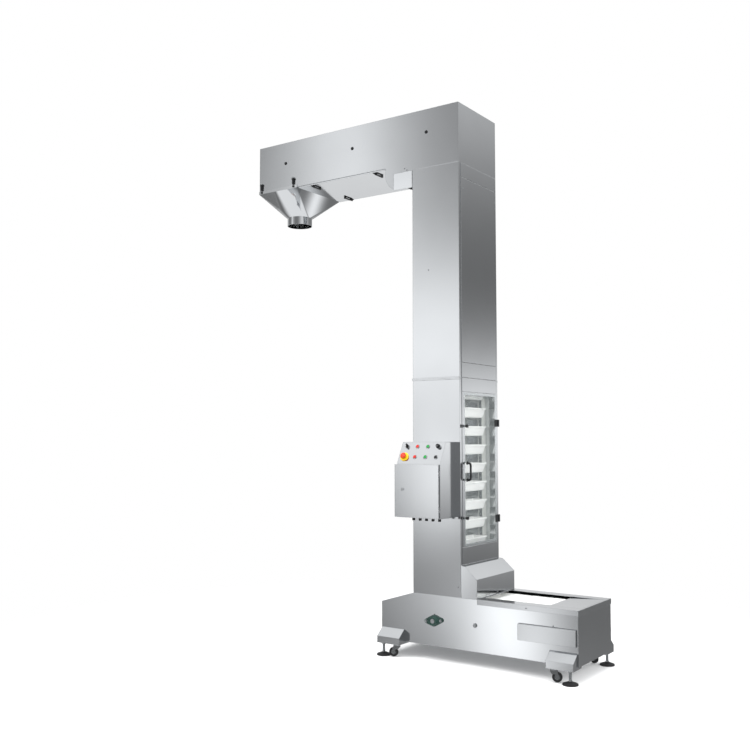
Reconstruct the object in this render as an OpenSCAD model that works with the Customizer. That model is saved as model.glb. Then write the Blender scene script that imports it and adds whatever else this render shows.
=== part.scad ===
// Bucket elevator with a C-shaped path: low infeed base, tall column, head beam with a
// square-to-round discharge. All sizes in millimetres, +Z up, floor at z = 0.
// The construction axes start at the floor under the column's front right edge:
// X runs along the base and the beam towards the infeed end, Y from front to back.

/* [Housing] */
// Thickness of the housing sheet
sheet = 3; // [2:0.5:4]
// Depth of the housing from front to back
depth = 532; // [520:1:560]
// Height of the beam's top above the floor
total_h = 3760; // [3700:10:3900]
// Width of the inward lips on sheet edges
lip = 18; // [12:1:22]

/* [Base] */
// Height of the base's underside
base_bottom = 102; // [100:1:110]
// Height of the base's top edge
base_top = 436; // [430:1:450]
// Reach of the base towards the infeed end
base_right = 810; // [800:5:860]
// Reach of the base behind the column
base_left = 630; // [600:5:700]
// Height of the rear end below its sloped cover
rear_h = 356; // [330:1:380]
// Thickness of the side covers standing proud of the base
cover_proud = 12; // [8:1:20]
// Left edge of the side cover
cover_x0 = 410; // [390:5:440]
// Distance of the side cover from the base end
cover_end = 13; // [12:1:30]
// Distance of the side cover's lower edge from the base's top
cover_deep = 217; // [205:1:230]
// Distance of the side cover's upper edge from the base's top
cover_drop = 116; // [100:1:121]

/* [Infeed] */
// Depth of the rim's skirt
rim_skirt = 32; // [20:1:40]
// Start of the infeed opening
infeed_x0 = 130; // [128:1:150]
// Distance of the infeed opening from the base end
infeed_end = 12; // [12:1:30]
// Front edge of the infeed opening
infeed_y0 = 84; // [80:1:100]
// Distance of the infeed opening from the back
infeed_back = 72; // [62:1:80]
// Length of the slide plate that feeds the buckets
slide_len = 226; // [180:1:240]
// Drop of the slide plate over its length
slide_drop = 8; // [4:1:9]
// Reach of the feed hood in front of the column
hood_reach = 119; // [110:1:125]
// Height of the feed hood at the column
hood_top = 645; // [640:1:649]
// Height of the feed hood's outer edge
hood_eave = 564; // [550:1:580]
// Length of the flat top of the hood
hood_flat = 31; // [25:1:40]

/* [Column] */
// Width of the column along the beam
col_w = 370; // [366:1:390]
// Width of the corner returns on the column's open side
corner = 28; // [26:1:30]
// Height of the joint between the two column sections
joint_h = 1880; // [1870:1:1884]
// Reach of the joint flange
joint_proud = 4; // [2:1:6]
// Thickness of the joint flange
joint_t = 8; // [6:1:12]
// Distance of the tall upper cover from the column joint
cover_lift = 106; // [100:1:120]
// Distance of the tall upper cover from the beam
cover_gap = 100; // [90:1:140]
// Gap between neighbouring cover plates
seam = 2; // [1:0.5:3]

/* [Window] */
// Lower edge of the window frame
window_z0 = 760; // [740:1:770]
// Distance of the window frame's top from the column joint
window_drop = 91; // [86:1:110]
// Front edge of the window opening
window_y0 = 60; // [58:1:66]
// Distance of the window opening from the back
window_back = 48; // [46:1:52]
// Height of the frame's lower and upper rails
window_rail = 20; // [16:1:26]
// Thickness of the clear door
pane_t = 5; // [4:1:8]
// Overlap of the clear door on its frame
pane_lap = 16; // [14:1:18]
// Distance of the lower hinge from the frame's lower edge
hinge_up = 160; // [120:1:200]
// Distance of the upper hinge from the frame's upper edge
hinge_down = 204; // [160:1:240]
// Height of a hinge
hinge_h = 50; // [44:2:60]
// Radius of a hinge barrel
hinge_r = 6; // [5:0.5:7]
// Distance of the pull handle below the middle of the frame
handle_low = 17.5; // [0:0.5:40]
// Length of the pull handle
handle_len = 126; // [110:1:140]
// Reach of the pull handle
handle_reach = 35; // [30:1:40]
// Thickness of the pull handle
handle_d = 14; // [12:1:15]
// Radius of the pull handle's bends
handle_bend = 14; // [12:1:16]
// Distance of the lower knob from the frame's lower edge
knob_up = 190; // [150:1:230]
// Distance of the upper knob from the frame's upper edge
knob_down = 229; // [190:1:260]
// Diameter of a locking knob
knob_d = 22; // [20:1:26]
// Diameter of a locking knob's stud
stud_d = 8; // [6:1:8]

/* [Head] */
// Length of the beam from the column's infeed face
head_len = 1800; // [1790:1:1840]
// Height of the beam over its open stretch
head_h = 363; // [355:1:370]
// Height of the beam at the column
head_h_column = 413; // [405:1:420]
// Gap between the discharge funnel and the drip tray
tray_gap = 16; // [14:1:25]
// Gap between the drip tray and the corner guard
guard_gap = 4; // [3:1:8]
// Depth of the drip tray
tray_h = 10; // [8:1:14]
// Reach of the corner guard from the column
guard_reach = 228; // [224:1:232]
// Depth of the corner guard below the beam's top
guard_drop = 535; // [525:1:545]

/* [Discharge] */
// Length of the funnel's square top
funnel_w = 380; // [370:1:384]
// Height of the funnel's upright rim
funnel_rim = 22; // [16:1:28]
// Outer diameter of the round spout
spout_d = 196; // [180:2:220]
// Length of the round spout
spout_len = 60; // [40:1:90]
// Distance of the round spout from the beam's top
spout_drop = 535; // [520:1:550]

/* [Bucket chain] */
// Spacing of the buckets along the chain
pitch = 127; // [127:1:127]
// Smallest distance of the tail shaft from the base end
tail_in = 215; // [210:1:222]
// Teeth of the end sprockets
big_teeth = 22; // [22:1:22]
// Teeth of the bend sprockets
small_teeth = 17; // [17:1:17]
// Radius of the guided inner bends
bend_r = 200; // [195:1:205]
// Distance of the rising run from the column's infeed face
rise_x = 111; // [109:1:113]
// Distance of the foot shaft from the column's rear
foot_in = 162; // [160:1:164]
// Distance of the foot shaft from the base's top
foot_drop = 169; // [166:1:171]
// Distance of the beam's lower run from the beam's top
run_drop = 290; // [286:1:292]
// Gap between a strand and the ends of the buckets
bucket_gap = 15.5; // [15:0.5:20]
// Width of a bucket over its lips
bucket_w = 122; // [118:1:122]
// Width of a bucket's flat bottom
bucket_base = 40; // [36:1:44]
// Height of a bucket
bucket_h = 68; // [64:1:68]
// Wall thickness of a bucket
bucket_t = 3; // [2:0.5:3]
// Height of the bucket's pivot below its lip
pivot_drop = 13; // [12:1:16]
// Thickness of a chain plate
plate_t = 3; // [2.5:0.5:3]
// Height of a chain plate
plate_h = 24; // [20:1:26]
// Gap between the two plates of a strand
plate_gap = 10; // [9:1:12]
// Distance from the housing's outside to a strand
strand_in = 42; // [40:1:43]
// Diameter of the bucket pins
pin_d = 12; // [10:1:14]
// Diameter of the shafts
shaft_d = 30; // [25:1:32]
// Diameter of the chain rollers
roller_d = 19; // [17:1:19]
// Diameter of the sprocket hubs
hub_d = 52; // [46:1:56]

/* [Feet] */
// Width of a foot bracket
bracket_w = 180; // [176:1:190]
// Reach of a foot bracket out of the base
bracket_out = 65; // [62:1:68]
// Height of a bracket's top edge above the base's underside
bracket_up = 82; // [76:1:90]
// Height of a bracket's bend above the base's underside
bend_up = 30; // [24:1:36]
// Depth of a bracket's lower edge below the base's underside
bracket_down = 16; // [14:1:18]
// Distance of the rear brackets' middle from the base end
bracket_in_rear = 95; // [92:1:110]
// Distance of the infeed brackets' middle from the base end
bracket_in = 98; // [95:1:110]
// Distance of a levelling foot from the bracket's middle
foot_off = 56; // [54:1:58]
// Distance of a caster from the bracket's middle
caster_off = 52; // [50:1:54]
// Distance of feet and casters from the housing's face
foot_out = 33; // [31:1:35]
// Diameter of a levelling foot's pad
pad_d = 96; // [90:2:98]
// Height of a levelling foot's pad
pad_h = 22; // [18:1:26]
// Diameter of a levelling foot's stem
stem_d = 16; // [12:1:18]
// Diameter of a caster wheel
wheel_d = 63; // [60:1:64]
// Width of a caster wheel
wheel_w = 22; // [20:1:24]
// Trail of a caster
trail = 22; // [20:1:22]
// Diameter of a caster axle
axle_d = 8; // [6:1:10]
// Height of the wheels above the floor on the levelled machine
wheel_lift = 3; // [2:1:4]

/* [Control box] */
// Left edge of the control box
box_x0 = -372; // [-380:1:-368]
// Right edge of the control box
box_x1 = -38; // [-40:1:-34]
// Lower side of the control box
box_z0 = 958; // [950:1:965]
// Upper end of the box front below the sloped panel
box_front_z = 1310; // [1306:1:1314]
// Top of the control box
box_z1 = 1454; // [1450:1:1460]
// Depth of the control box
box_d = 196; // [190:1:200]
// Depth of the box at its top
box_top_d = 120; // [115:1:125]
// Thickness of the control door
door_t = 10; // [8:1:14]
// Spacing of the controls along the panel
control_gap = 81; // [78:1:82]
// Diameter of a control's bezel
bezel_d = 30; // [28:1:32]
// Diameter of the stop button
stop_d = 40; // [36:1:42]
// Travel of the stop button
stop_travel = 5; // [4:1:5]
// Height of the door lock's head
lock_h = 4; // [3:1:5]

/* [Drive] */
// Width of the square gear housing
gear_size = 130; // [120:1:140]
// Reach of the gear housing behind the beam
gear_depth = 105; // [100:1:120]
// Diameter of the motor
motor_d = 100; // [90:1:100]
// Length of the motor
motor_len = 240; // [200:5:260]

/* [Clearances] */
// Gap between a moving piece and its seat
run_gap = 0.3; // [0.2:0.1:0.5]
// Radial clearance of pins and axles in their bores
pin_fit = 0.05; // [0.02:0.01:0.1]

/* [Hidden] */
$fn = 64;
steel = "#c8cccf";
polished = "#d8dadb";
dark = "#1c1e20";
white = "#eef0ef";
cast = "#27413c";
red = "#c8321e";

mid_depth = depth / 2;
rim_top = base_top + sheet;
infeed_x1 = base_right - infeed_end;
infeed_y1 = depth - infeed_back;
slide_t = 2;
cover_x1 = base_right - cover_end;
cover_z0 = base_top - cover_deep;
cover_z1 = base_top - cover_drop;
bracket_top = base_bottom + bracket_up;
bracket_bend = base_bottom + bend_up;
bracket_low = base_bottom - bracket_down;
bracket_x0 = -base_left + bracket_in_rear;
bracket_x1 = base_right - bracket_in;
window_z1 = joint_h - window_drop;
window_y1 = depth - window_back;
head_under = total_h - head_h;
head_low = total_h - head_h_column;
cover_low = joint_h + cover_lift;
cover_high = head_low - cover_gap;
guard_x = -col_w - guard_reach;
guard_z = total_h - guard_drop;
tray_x0 = -head_len + funnel_w + tray_gap;
tray_x1 = guard_x - guard_gap;
spout_z1 = total_h - spout_drop;
spout_z0 = spout_z1 - spout_len;

// chain geometry
link = pitch / 4;
foot_x = col_w - foot_in;
foot_z = base_top - foot_drop;
head_run_z = total_h - run_drop;
big_r = link / (2 * sin(180 / big_teeth));
small_r = link / (2 * sin(180 / small_teeth));
run_low = foot_z - small_r;
run_high = run_low + 2 * big_r;
tail_z = foot_z - small_r + big_r;
fall_x = foot_x + small_r;
head_z = head_run_z + big_r;
head_x = -head_len + funnel_w / 2;
top_run_z = head_run_z + 2 * big_r;
quarter = 90 * PI / 180;
// everything on the loop except the two base runs
fixed_len = 2 * bend_r * quarter + 2 * small_r * quarter + 4 * big_r * quarter
    + (top_run_z - small_r - run_high - bend_r)
    + (-rise_x - small_r - head_x)
    + (-fall_x - bend_r - head_x)
    + (head_run_z - bend_r - foot_z);
// as many buckets as the base has room for; the tail shaft takes up the rest
bucket_count = floor((fixed_len + 2 * (base_right - tail_in) + rise_x - bend_r + foot_x) / pitch);
loop_len = pitch * bucket_count;
tail_x = (loop_len - fixed_len - rise_x + bend_r - foot_x) / 2;
strand_w = 2 * plate_t + plate_gap;

// stations where each stretch of the loop starts, from the tail's top along the travel
len_a = tail_x + rise_x - bend_r;
len_b = len_a + bend_r * quarter;
len_c = len_b + top_run_z - small_r - run_high - bend_r;
len_d = len_c + small_r * quarter;
len_e = len_d - rise_x - small_r - head_x;
len_f = len_e + 2 * big_r * quarter;
len_g = len_f - fall_x - bend_r - head_x;
len_h = len_g + bend_r * quarter;
len_i = len_h + head_run_z - bend_r - foot_z;
len_j = len_i + small_r * quarter;
len_k = len_j + tail_x + foot_x;

function on_arc(x, z, r, a) = [x + r * cos(a), z + r * sin(a)];
function turned(s, r) = s / r * 180 / PI;
function on_loop(s) =
    s < len_a ? [tail_x - s, run_high] :
    s < len_b ? on_arc(bend_r - rise_x, run_high + bend_r, bend_r, 270 - turned(s - len_a, bend_r)) :
    s < len_c ? [-rise_x, run_high + bend_r + s - len_b] :
    s < len_d ? on_arc(-rise_x - small_r, top_run_z - small_r, small_r, turned(s - len_c, small_r)) :
    s < len_e ? [-rise_x - small_r - (s - len_d), top_run_z] :
    s < len_f ? on_arc(head_x, head_z, big_r, 90 + turned(s - len_e, big_r)) :
    s < len_g ? [head_x + s - len_f, head_run_z] :
    s < len_h ? on_arc(-fall_x - bend_r, head_run_z - bend_r, bend_r, 90 - turned(s - len_g, bend_r)) :
    s < len_i ? [-fall_x, head_run_z - bend_r - (s - len_h)] :
    s < len_j ? on_arc(-foot_x, foot_z, small_r, 180 + turned(s - len_i, small_r)) :
    s < len_k ? [-foot_x + s - len_j, run_low] :
    on_arc(tail_x, tail_z, big_r, 270 + turned(s - len_k, big_r));

// steps of an arc in the outlines of chain plates and buckets
arc_steps = 12;
bucket_floor = pivot_drop - bucket_h;
bucket_mouth = bucket_w - 16;
wall_lean = 16;
bucket_round = 14;
lip_turn = 9;
tooth_h = 5;
boss_d = 22;
// gap between the chain plates and their guide rails
rail_gap = 0.7;
boss_len = 9;

// the first buckets lie open under the infeed
first_s = 107.4;
infeed_buckets_n = 3;
bucket_y0 = strand_in + strand_w + bucket_gap;
bucket_len = depth - 2 * bucket_y0;

// feet and casters
fork_top = bracket_low - run_gap;
axle_z = wheel_lift + wheel_d / 2;
fork_gap = wheel_w + 4;
fork_t = 2.5;
nut_t = 5;

// foot shaft bearing and plug
bearing_tilt = 6;
bearing_reach = 57;
bearing_r = 37;
bearing_h = 25;
flange_t = 9;
bolt_d = 10;
plug_x = 102;
plug_z = 270;

// inspection door
pane_x = sheet + run_gap;
pane_y0 = window_y0 - pane_lap;
pane_y1 = window_y1 + pane_lap;
pane_z0 = window_z0 + window_rail - pane_lap;
pane_z1 = window_z1 - window_rail + pane_lap;
hinge_y = depth - corner + 1;
hinge_x = pane_x + pane_t + hinge_r + 0.5;
knob_y = window_y0 - 6;
knob_z0 = window_z0 + knob_up;
knob_z1 = window_z1 - knob_down;
hinge_z0 = window_z0 + hinge_up;
hinge_z1 = window_z1 - hinge_down;
handle_z = (window_z0 + window_z1) / 2 - handle_low;

// corner guard under the beam
guard_r = 120;
guard_skin_r = bend_r - 8;
guard_skin_x = -fall_x - bend_r - bucket_w / 2;
guard_skin_z0 = head_run_z - bend_r - bucket_h + pivot_drop;
guard_skin_z = guard_skin_z0 + sqrt(guard_skin_r * guard_skin_r - pow(-col_w - guard_skin_x, 2));
ear_x = guard_x + 71;
clamp_len = 100;

// discharge
funnel_x0 = -head_len - sheet;
funnel_x1 = -head_len + funnel_w + sheet;
spout_x = (funnel_x0 + funnel_x1) / 2;
funnel_low = head_under - 4;
funnel_z = funnel_low + funnel_rim;
// the beam's walls reach this far down into the funnel's rim
funnel_seat = funnel_z - 8;
latch_in = 28;
latch_w = 18;
latch_h = 46;

// control panel
panel_len = norm([box_d - box_top_d, box_z1 - box_front_z]);
panel_tilt = atan2(box_z1 - box_front_z, box_d - box_top_d);
control_x0 = (box_x0 + box_x1) / 2 - 1.5 * control_gap;
row_top = panel_len - 35;
row_low = panel_len - 112;
door_x0 = box_x0 - 12;
door_x1 = box_x1 - 6;
door_z0 = box_z0 + 2;
door_z1 = box_front_z - 4;
door_front = -box_d - run_gap - door_t;
lock_x = door_x0 + 62;
lock_z = (door_z0 + door_z1) / 2 + 10;
lug_r = 3;
lug_h = 12;
lug_pin = 3;
box_hinge_z = [door_z0 + 55, door_z1 - 55];
door_axis_x = door_x1 + lug_r + 0.5;
door_axis_y = -box_d - lug_r * 2;
stop_ring_d = 60;
gland_gap = 50;
gland_x0 = -283;
gland_y = -130;

// the origin lies in the middle of the footprint
x_min = funnel_x0;
x_max = bracket_x1 + foot_off + pad_d / 2;
y_min = door_front - lock_h;
y_max = depth + gear_depth;
mid_x = (x_min + x_max) / 2;
mid_y = (y_min + y_max) / 2;

// helpers

// moves the construction axes so that the origin is at the middle of the footprint
module placed() {
    translate([-mid_x, -mid_y, 0]) children();
}

// extrudes an X-Z outline from y0 to y1
module along_y(y0, y1) {
    translate([0, y1, 0]) rotate([90, 0, 0]) linear_extrude(y1 - y0) children();
}

// extrudes a Y-Z outline from x0 to x1
module along_x(x0, x1) {
    translate([x0, 0, 0]) rotate([90, 0, 90]) linear_extrude(x1 - x0) children();
}

// a box between two corners
module span(a, b) {
    translate(a) cube(b - a);
}

// the piece and its mirror image about the middle of the depth
module both_sides() {
    children();
    translate([0, depth, 0]) mirror([0, 1, 0]) children();
}

// a round bar along Y
module bar_y(x, z, d, y0, y1) {
    translate([x, y0, z]) rotate([-90, 0, 0]) cylinder(d = d, h = y1 - y0);
}

// a round bar along X
module bar_x(y, z, d, x0, x1) {
    translate([x0, y, z]) rotate([0, 90, 0]) cylinder(d = d, h = x1 - x0);
}

// base

module base_outline() {
    polygon([[-base_left, base_bottom], [base_right, base_bottom], [base_right, base_top],
        [-col_w, base_top], [-base_left, rear_h]]);
}

module base_sides() {
    color(steel) placed() both_sides() difference() {
        union() {
            along_y(0, sheet) base_outline();
            span([-base_left + sheet, sheet, base_bottom], [base_right - sheet, sheet + lip, base_bottom + sheet]);
        }
        bar_y(-foot_x, foot_z, shaft_d + 2 * run_gap, -1, sheet + 1);
        bar_y(tail_x, tail_z, shaft_d + 2 * run_gap, -1, sheet + 1);
    }
}

module rear_skin() {
    polygon([[-base_left, base_bottom], [-base_left + sheet, base_bottom], [-base_left + sheet, rear_h - sheet],
        [-col_w, base_top - sheet * 1.1], [-col_w, base_top], [-base_left, rear_h]]);
}

module base_ends() {
    color(steel) placed() {
        along_y(sheet, depth - sheet) rear_skin();
        span([base_right - sheet, sheet, base_bottom], [base_right, depth - sheet, base_top]);
    }
}

module base_floor() {
    color(steel) placed()
        span([-base_left + sheet, sheet, base_bottom + sheet],
            [base_right - sheet, depth - sheet, base_bottom + 2 * sheet]);
}

// infeed

module infeed_rim() {
    color(steel) placed() difference() {
        span([hood_reach, -sheet, base_top - rim_skirt], [base_right + sheet, depth + sheet, rim_top]);
        span([hood_reach - 1, 0, base_top - rim_skirt - 1], [base_right, depth, base_top]);
        span([infeed_x0, infeed_y0, base_top - 1], [infeed_x1, infeed_y1, rim_top + 1]);
    }
}

module infeed_slide() {
    color(polished) placed() along_y(infeed_y0 + run_gap, infeed_y1 - run_gap)
        polygon([[infeed_x1, rim_top], [infeed_x1 - slide_len, rim_top - slide_drop],
            [infeed_x1 - slide_len, rim_top - slide_drop - slide_t], [infeed_x1, rim_top - slide_t]]);
}

module hood_outline(inset) {
    polygon([[0, base_top], [hood_reach - inset, base_top], [hood_reach - inset, hood_eave - inset * 0.5],
        [hood_flat - inset * 0.5, hood_top - 4 - inset], [0, hood_top - inset]]);
}

module feed_hood() {
    color(steel) placed() difference() {
        along_y(0, depth) hood_outline(0);
        along_y(sheet, depth - sheet) translate([-0.01, -0.01]) hood_outline(sheet);
    }
}

module side_covers() {
    color(steel) placed() both_sides() difference() {
        span([cover_x0, -cover_proud, cover_z0], [cover_x1, 0, cover_z1]);
        span([cover_x0 + sheet, -cover_proud + sheet, cover_z0 + sheet], [cover_x1 - sheet, 1, cover_z1 - sheet]);
    }
}

// feet

module bracket_outline(inset) {
    polygon([[0, bracket_top - 2 * inset], [-bracket_out + inset, bracket_bend - inset * 0.6],
        [-bracket_out + inset, bracket_low + inset * 2], [0, bracket_low + inset * 2]]);
}

module bracket(x) {
    difference() {
        union() {
            along_x(x - bracket_w / 2, x + bracket_w / 2) bracket_outline(0);
            span([x - bracket_w / 2, -1, bracket_low], [x + bracket_w / 2, 60, base_bottom]);
        }
        along_x(x - bracket_w / 2 + sheet, x + bracket_w / 2 - sheet) bracket_outline(sheet);
        span([x - bracket_w / 2 + sheet, -1, bracket_low + 2 * sheet],
            [x + bracket_w / 2 - sheet, 60 - sheet, base_bottom + 1]);
        for (s = [0, 1])
            translate([spot_x(s, x), -foot_out, bracket_low - 1])
                cylinder(d = (s == 0 ? stem_d : axle_d + 4) + 2 * pin_fit, h = 2 * sheet + 2);
    }
}

// the foot stands outboard and the caster inboard on every bracket
function outward(x) = x < 0 ? -1 : 1;
function spot_x(s, x) = x + outward(x) * (s == 0 ? foot_off : -caster_off);

module foot_brackets() {
    color(steel) placed() both_sides() {
        bracket(bracket_x0);
        bracket(bracket_x1);
    }
}

module foot_stems() {
    color(polished) placed() both_sides() for (x = [bracket_x0, bracket_x1])
        translate([spot_x(0, x), -foot_out, 0]) {
            translate([0, 0, pad_h - 4]) cylinder(d = stem_d, h = bracket_low + 2 * sheet + 22 - pad_h);
            translate([0, 0, bracket_low - 12]) cylinder(d = 27, h = 12, $fn = 6);
            translate([0, 0, bracket_low + 2 * sheet]) cylinder(d = 27, h = 10, $fn = 6);
            translate([0, 0, pad_h + 1]) cylinder(d = 22, h = 9, $fn = 6);
        }
}

module foot_pads() {
    r = pad_d / 2;
    color(dark) placed() both_sides() for (x = [bracket_x0, bracket_x1])
        translate([spot_x(0, x), -foot_out, 0]) difference() {
            rotate_extrude() polygon(concat([[0, 0], [r - 3, 0]], arc_points(r - 3, 3, 3, 270, 360, 4),
                [[r, 9], [r - 3, 11], [24, pad_h - 4], [16, pad_h], [0, pad_h]]));
            translate([0, 0, pad_h - 4]) cylinder(d = stem_d + 2 * pin_fit, h = 10);
        }
}

// corner 1 rear front, 2 infeed front, 3 infeed back, 4 rear back
function caster_x(i) = spot_x(1, i == 1 || i == 4 ? bracket_x0 : bracket_x1);
function caster_y(i) = i < 3 ? -foot_out : depth + foot_out;
function caster_dir(i) = i == 1 ? 200 : i == 2 ? 20 : i == 3 ? -15 : 165;

module fork_cheek() {
    difference() {
        union() {
            polygon([[-20, fork_top - 8], [22, fork_top - 8], [trail + 13, axle_z], [trail - 13, axle_z],
                [-20, fork_top - 20]]);
            translate([trail, axle_z]) circle(r = 13);
        }
        translate([trail - 22, axle_z + 8]) circle(r = 12);
    }
}

module caster_fork(i) {
    y1 = fork_gap / 2;
    y2 = y1 + fork_t;
    color(polished) placed() translate([caster_x(i), caster_y(i), 0]) rotate([0, 0, caster_dir(i)]) {
        translate([0, 0, fork_top - 8]) rotate_extrude() polygon([[0, 0], [22, 0], [25, 3], [25, 6], [23, 8], [0, 8]]);
        span([-20, -y2, fork_top - 11], [22, y2, fork_top - 8]);
        along_y(-y2, -y1) fork_cheek();
        along_y(y1, y2) fork_cheek();
        bar_y(trail, axle_z, axle_d, -y2 - 1, y2 + 1);
        for (y = [-y2 - nut_t, y2]) translate([trail, y + nut_t, axle_z]) rotate([90, 0, 0])
            cylinder(d = 14, h = nut_t, $fn = 6);
        translate([0, 0, fork_top - 1]) cylinder(d = axle_d + 4, h = 2 * sheet + 5);
        translate([0, 0, bracket_low + 2 * sheet + run_gap]) cylinder(d = 19, h = 8, $fn = 6);
    }
}

module caster_wheel(i) {
    r = wheel_d / 2;
    w = wheel_w / 2;
    color(dark) placed() translate([caster_x(i), caster_y(i), 0]) rotate([0, 0, caster_dir(i)])
        translate([trail, 0, axle_z]) rotate([90, 0, 0]) rotate_extrude() polygon(concat(
            [[axle_d / 2 + pin_fit, -w], [11, -w], [13, -w + 3], [r - 10, -w + 3], [r - 9, -w + 1]],
            arc_points(r - 7, -w + 8, 7, 270, 360, 4), arc_points(r - 7, w - 8, 7, 0, 90, 4),
            [[r - 9, w - 1], [r - 10, w - 3], [13, w - 3], [11, w], [axle_d / 2 + pin_fit, w]]));
}

module caster_fork_1() { caster_fork(1); }
module caster_fork_2() { caster_fork(2); }
module caster_fork_3() { caster_fork(3); }
module caster_fork_4() { caster_fork(4); }
module caster_wheel_1() { caster_wheel(1); }
module caster_wheel_2() { caster_wheel(2); }
module caster_wheel_3() { caster_wheel(3); }
module caster_wheel_4() { caster_wheel(4); }

// column

module column_section() {
    difference() {
        translate([-col_w, 0]) square([col_w, depth]);
        translate([-col_w + sheet, sheet]) square([col_w - 2 * sheet, depth - 2 * sheet]);
        translate([-sheet - 1, corner]) square([sheet + 2, depth - 2 * corner]);
    }
}

module joint_ring(z0) {
    translate([0, 0, z0]) linear_extrude(joint_t) difference() {
        translate([-col_w - joint_proud, -joint_proud]) square([col_w + joint_proud, depth + 2 * joint_proud]);
        translate([-col_w, 0]) square([col_w + 1, depth]);
    }
}

module lower_column() {
    color(steel) placed() {
        translate([0, 0, base_top]) linear_extrude(joint_h - base_top) column_section();
        joint_ring(joint_h - joint_t);
    }
}

module upper_column() {
    color(steel) placed() {
        difference() {
            translate([0, 0, joint_h]) linear_extrude(head_low - joint_h) column_section();
            span([-col_w - 1, sheet + lip, guard_skin_z], [-col_w + sheet + 1, depth - sheet - lip, head_low + 1]);
        }
        joint_ring(joint_h);
    }
}

// a cover plate with folded edges that lies on the corner returns
module cover_plate(z0, z1) {
    span([0, corner - 3, z0], [sheet, depth - corner + 3, z1]);
    for (y = [corner + run_gap, depth - corner - run_gap - sheet])
        span([-lip, y, z0], [0, y + sheet, z1]);
}

module upper_cover() {
    color(steel) placed() cover_plate(cover_low + seam / 2, cover_high - seam / 2);
}

module cover_strips() {
    color(steel) placed() {
        cover_plate(cover_high + seam / 2, head_low - seam / 2);
        cover_plate(joint_h + 5 + seam / 2, cover_low - seam / 2);
        cover_plate(window_z1 + seam / 2, joint_h + 5 - seam / 2);
        cover_plate(hood_top + seam / 2, window_z0 - seam / 2);
    }
}

// window

module window_frame() {
    color(steel) placed() difference() {
        span([0, corner - 3, window_z0], [sheet, depth - corner + 3, window_z1]);
        span([-1, window_y0, window_z0 + window_rail], [sheet + 1, window_y1, window_z1 - window_rail]);
        for (z = [knob_z0, knob_z1]) bar_x(knob_y, z, stud_d + 2, -1, sheet + 1);
    }
}

module inspection_door() {
    color("#dfe8ea", 0.4) placed() difference() {
        span([pane_x, pane_y0, pane_z0], [pane_x + pane_t, pane_y1, pane_z1]);
        for (z = [knob_z0, knob_z1]) bar_x(knob_y, z, stud_d + 2 * pin_fit, pane_x - 1, pane_x + pane_t + 1);
    }
}

module door_handle() {
    y = window_y0 + 15;
    x0 = pane_x + pane_t;
    x1 = x0 + handle_reach - handle_d / 2;
    half = handle_len / 2 - handle_d / 2;
    color(dark) placed() for (s = [-1, 1]) {
        bar_x(y, handle_z + s * half, handle_d, x0 + 4, x1 - handle_bend);
        bar_x(y, handle_z + s * half, handle_d + 8, x0, x0 + 5);
        translate([x1 - handle_bend, y, handle_z + s * (half - handle_bend)])
            rotate([90, 0, 0]) rotate([0, 0, s > 0 ? 0 : -90])
                rotate_extrude(angle = 90) translate([handle_bend, 0]) circle(d = handle_d);
        translate([x1, y, s > 0 ? handle_z : handle_z - half + handle_bend])
            cylinder(d = handle_d, h = half - handle_bend);
    }
}

// a locking knob whose stud passes through the clear door into the frame
module door_knob(z) {
    x0 = pane_x + pane_t + run_gap;
    color(dark) placed() {
        bar_x(knob_y, z, stud_d, 1, x0 + 10);
        bar_x(knob_y, z, knob_d - 8, x0, x0 + 8);
        translate([x0 + 8, knob_y, z]) rotate([0, 90, 0]) linear_extrude(12) difference() {
            circle(d = knob_d);
            for (i = [0 : 5]) rotate([0, 0, i * 60]) translate([knob_d / 2 + 2.5, 0]) circle(d = 8);
        }
        bar_x(knob_y, z, knob_d - 10, x0 + 19, x0 + 21.5);
    }
}

module door_knob_1() { door_knob(knob_z0); }
module door_knob_2() { door_knob(knob_z1); }

module door_hinges() {
    color(dark) placed() for (z = [hinge_z0, hinge_z1]) difference() {
        union() {
            span([pane_x + pane_t, hinge_y - 34, z - hinge_h / 2], [hinge_x, hinge_y - 12, z + hinge_h / 2]);
            for (s = [-1, 1]) translate([0, 0, z + s * hinge_h / 3]) {
                span([hinge_x - 4, hinge_y - 13, -hinge_h / 6 + run_gap], [hinge_x, hinge_y, hinge_h / 6 - run_gap]);
                translate([hinge_x, hinge_y, -hinge_h / 6 + run_gap])
                    cylinder(r = hinge_r, h = hinge_h / 3 - 2 * run_gap);
            }
        }
        translate([hinge_x, hinge_y, z - hinge_h]) cylinder(d = 5 + 2 * pin_fit, h = 2 * hinge_h);
    }
}

module hinge_seats() {
    color(dark) placed() for (z = [hinge_z0, hinge_z1]) {
        span([0, hinge_y + hinge_r + 1, z - hinge_h / 2], [hinge_x, depth - 2, z + hinge_h / 2]);
        span([hinge_x - 4, hinge_y, z - hinge_h / 6], [hinge_x, hinge_y + hinge_r + 2, z + hinge_h / 6]);
        translate([hinge_x, hinge_y, z - hinge_h / 6]) cylinder(r = hinge_r, h = hinge_h / 3);
        translate([hinge_x, hinge_y, z - hinge_h / 2 + 1]) cylinder(d = 5, h = hinge_h - 2);
    }
}

// head

module head_outline() {
    polygon([[-head_len, funnel_seat], [funnel_x1 - sheet - run_gap, funnel_seat],
        [funnel_x1 - sheet - run_gap, funnel_z], [funnel_x1 + run_gap, funnel_z], [funnel_x1 + run_gap, head_under],
        [guard_x, head_under], [guard_x, head_low], [0, head_low], [0, total_h], [-head_len, total_h]]);
}

module head_ear() {
    intersection() {
        translate([guard_x, guard_z]) square([ear_x - guard_x, head_low - guard_z]);
        union() {
            translate([guard_x + guard_r, guard_z + guard_r]) circle(r = guard_r);
            translate([guard_x, guard_z + guard_r]) square([ear_x - guard_x, guard_r]);
        }
    }
}

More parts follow.
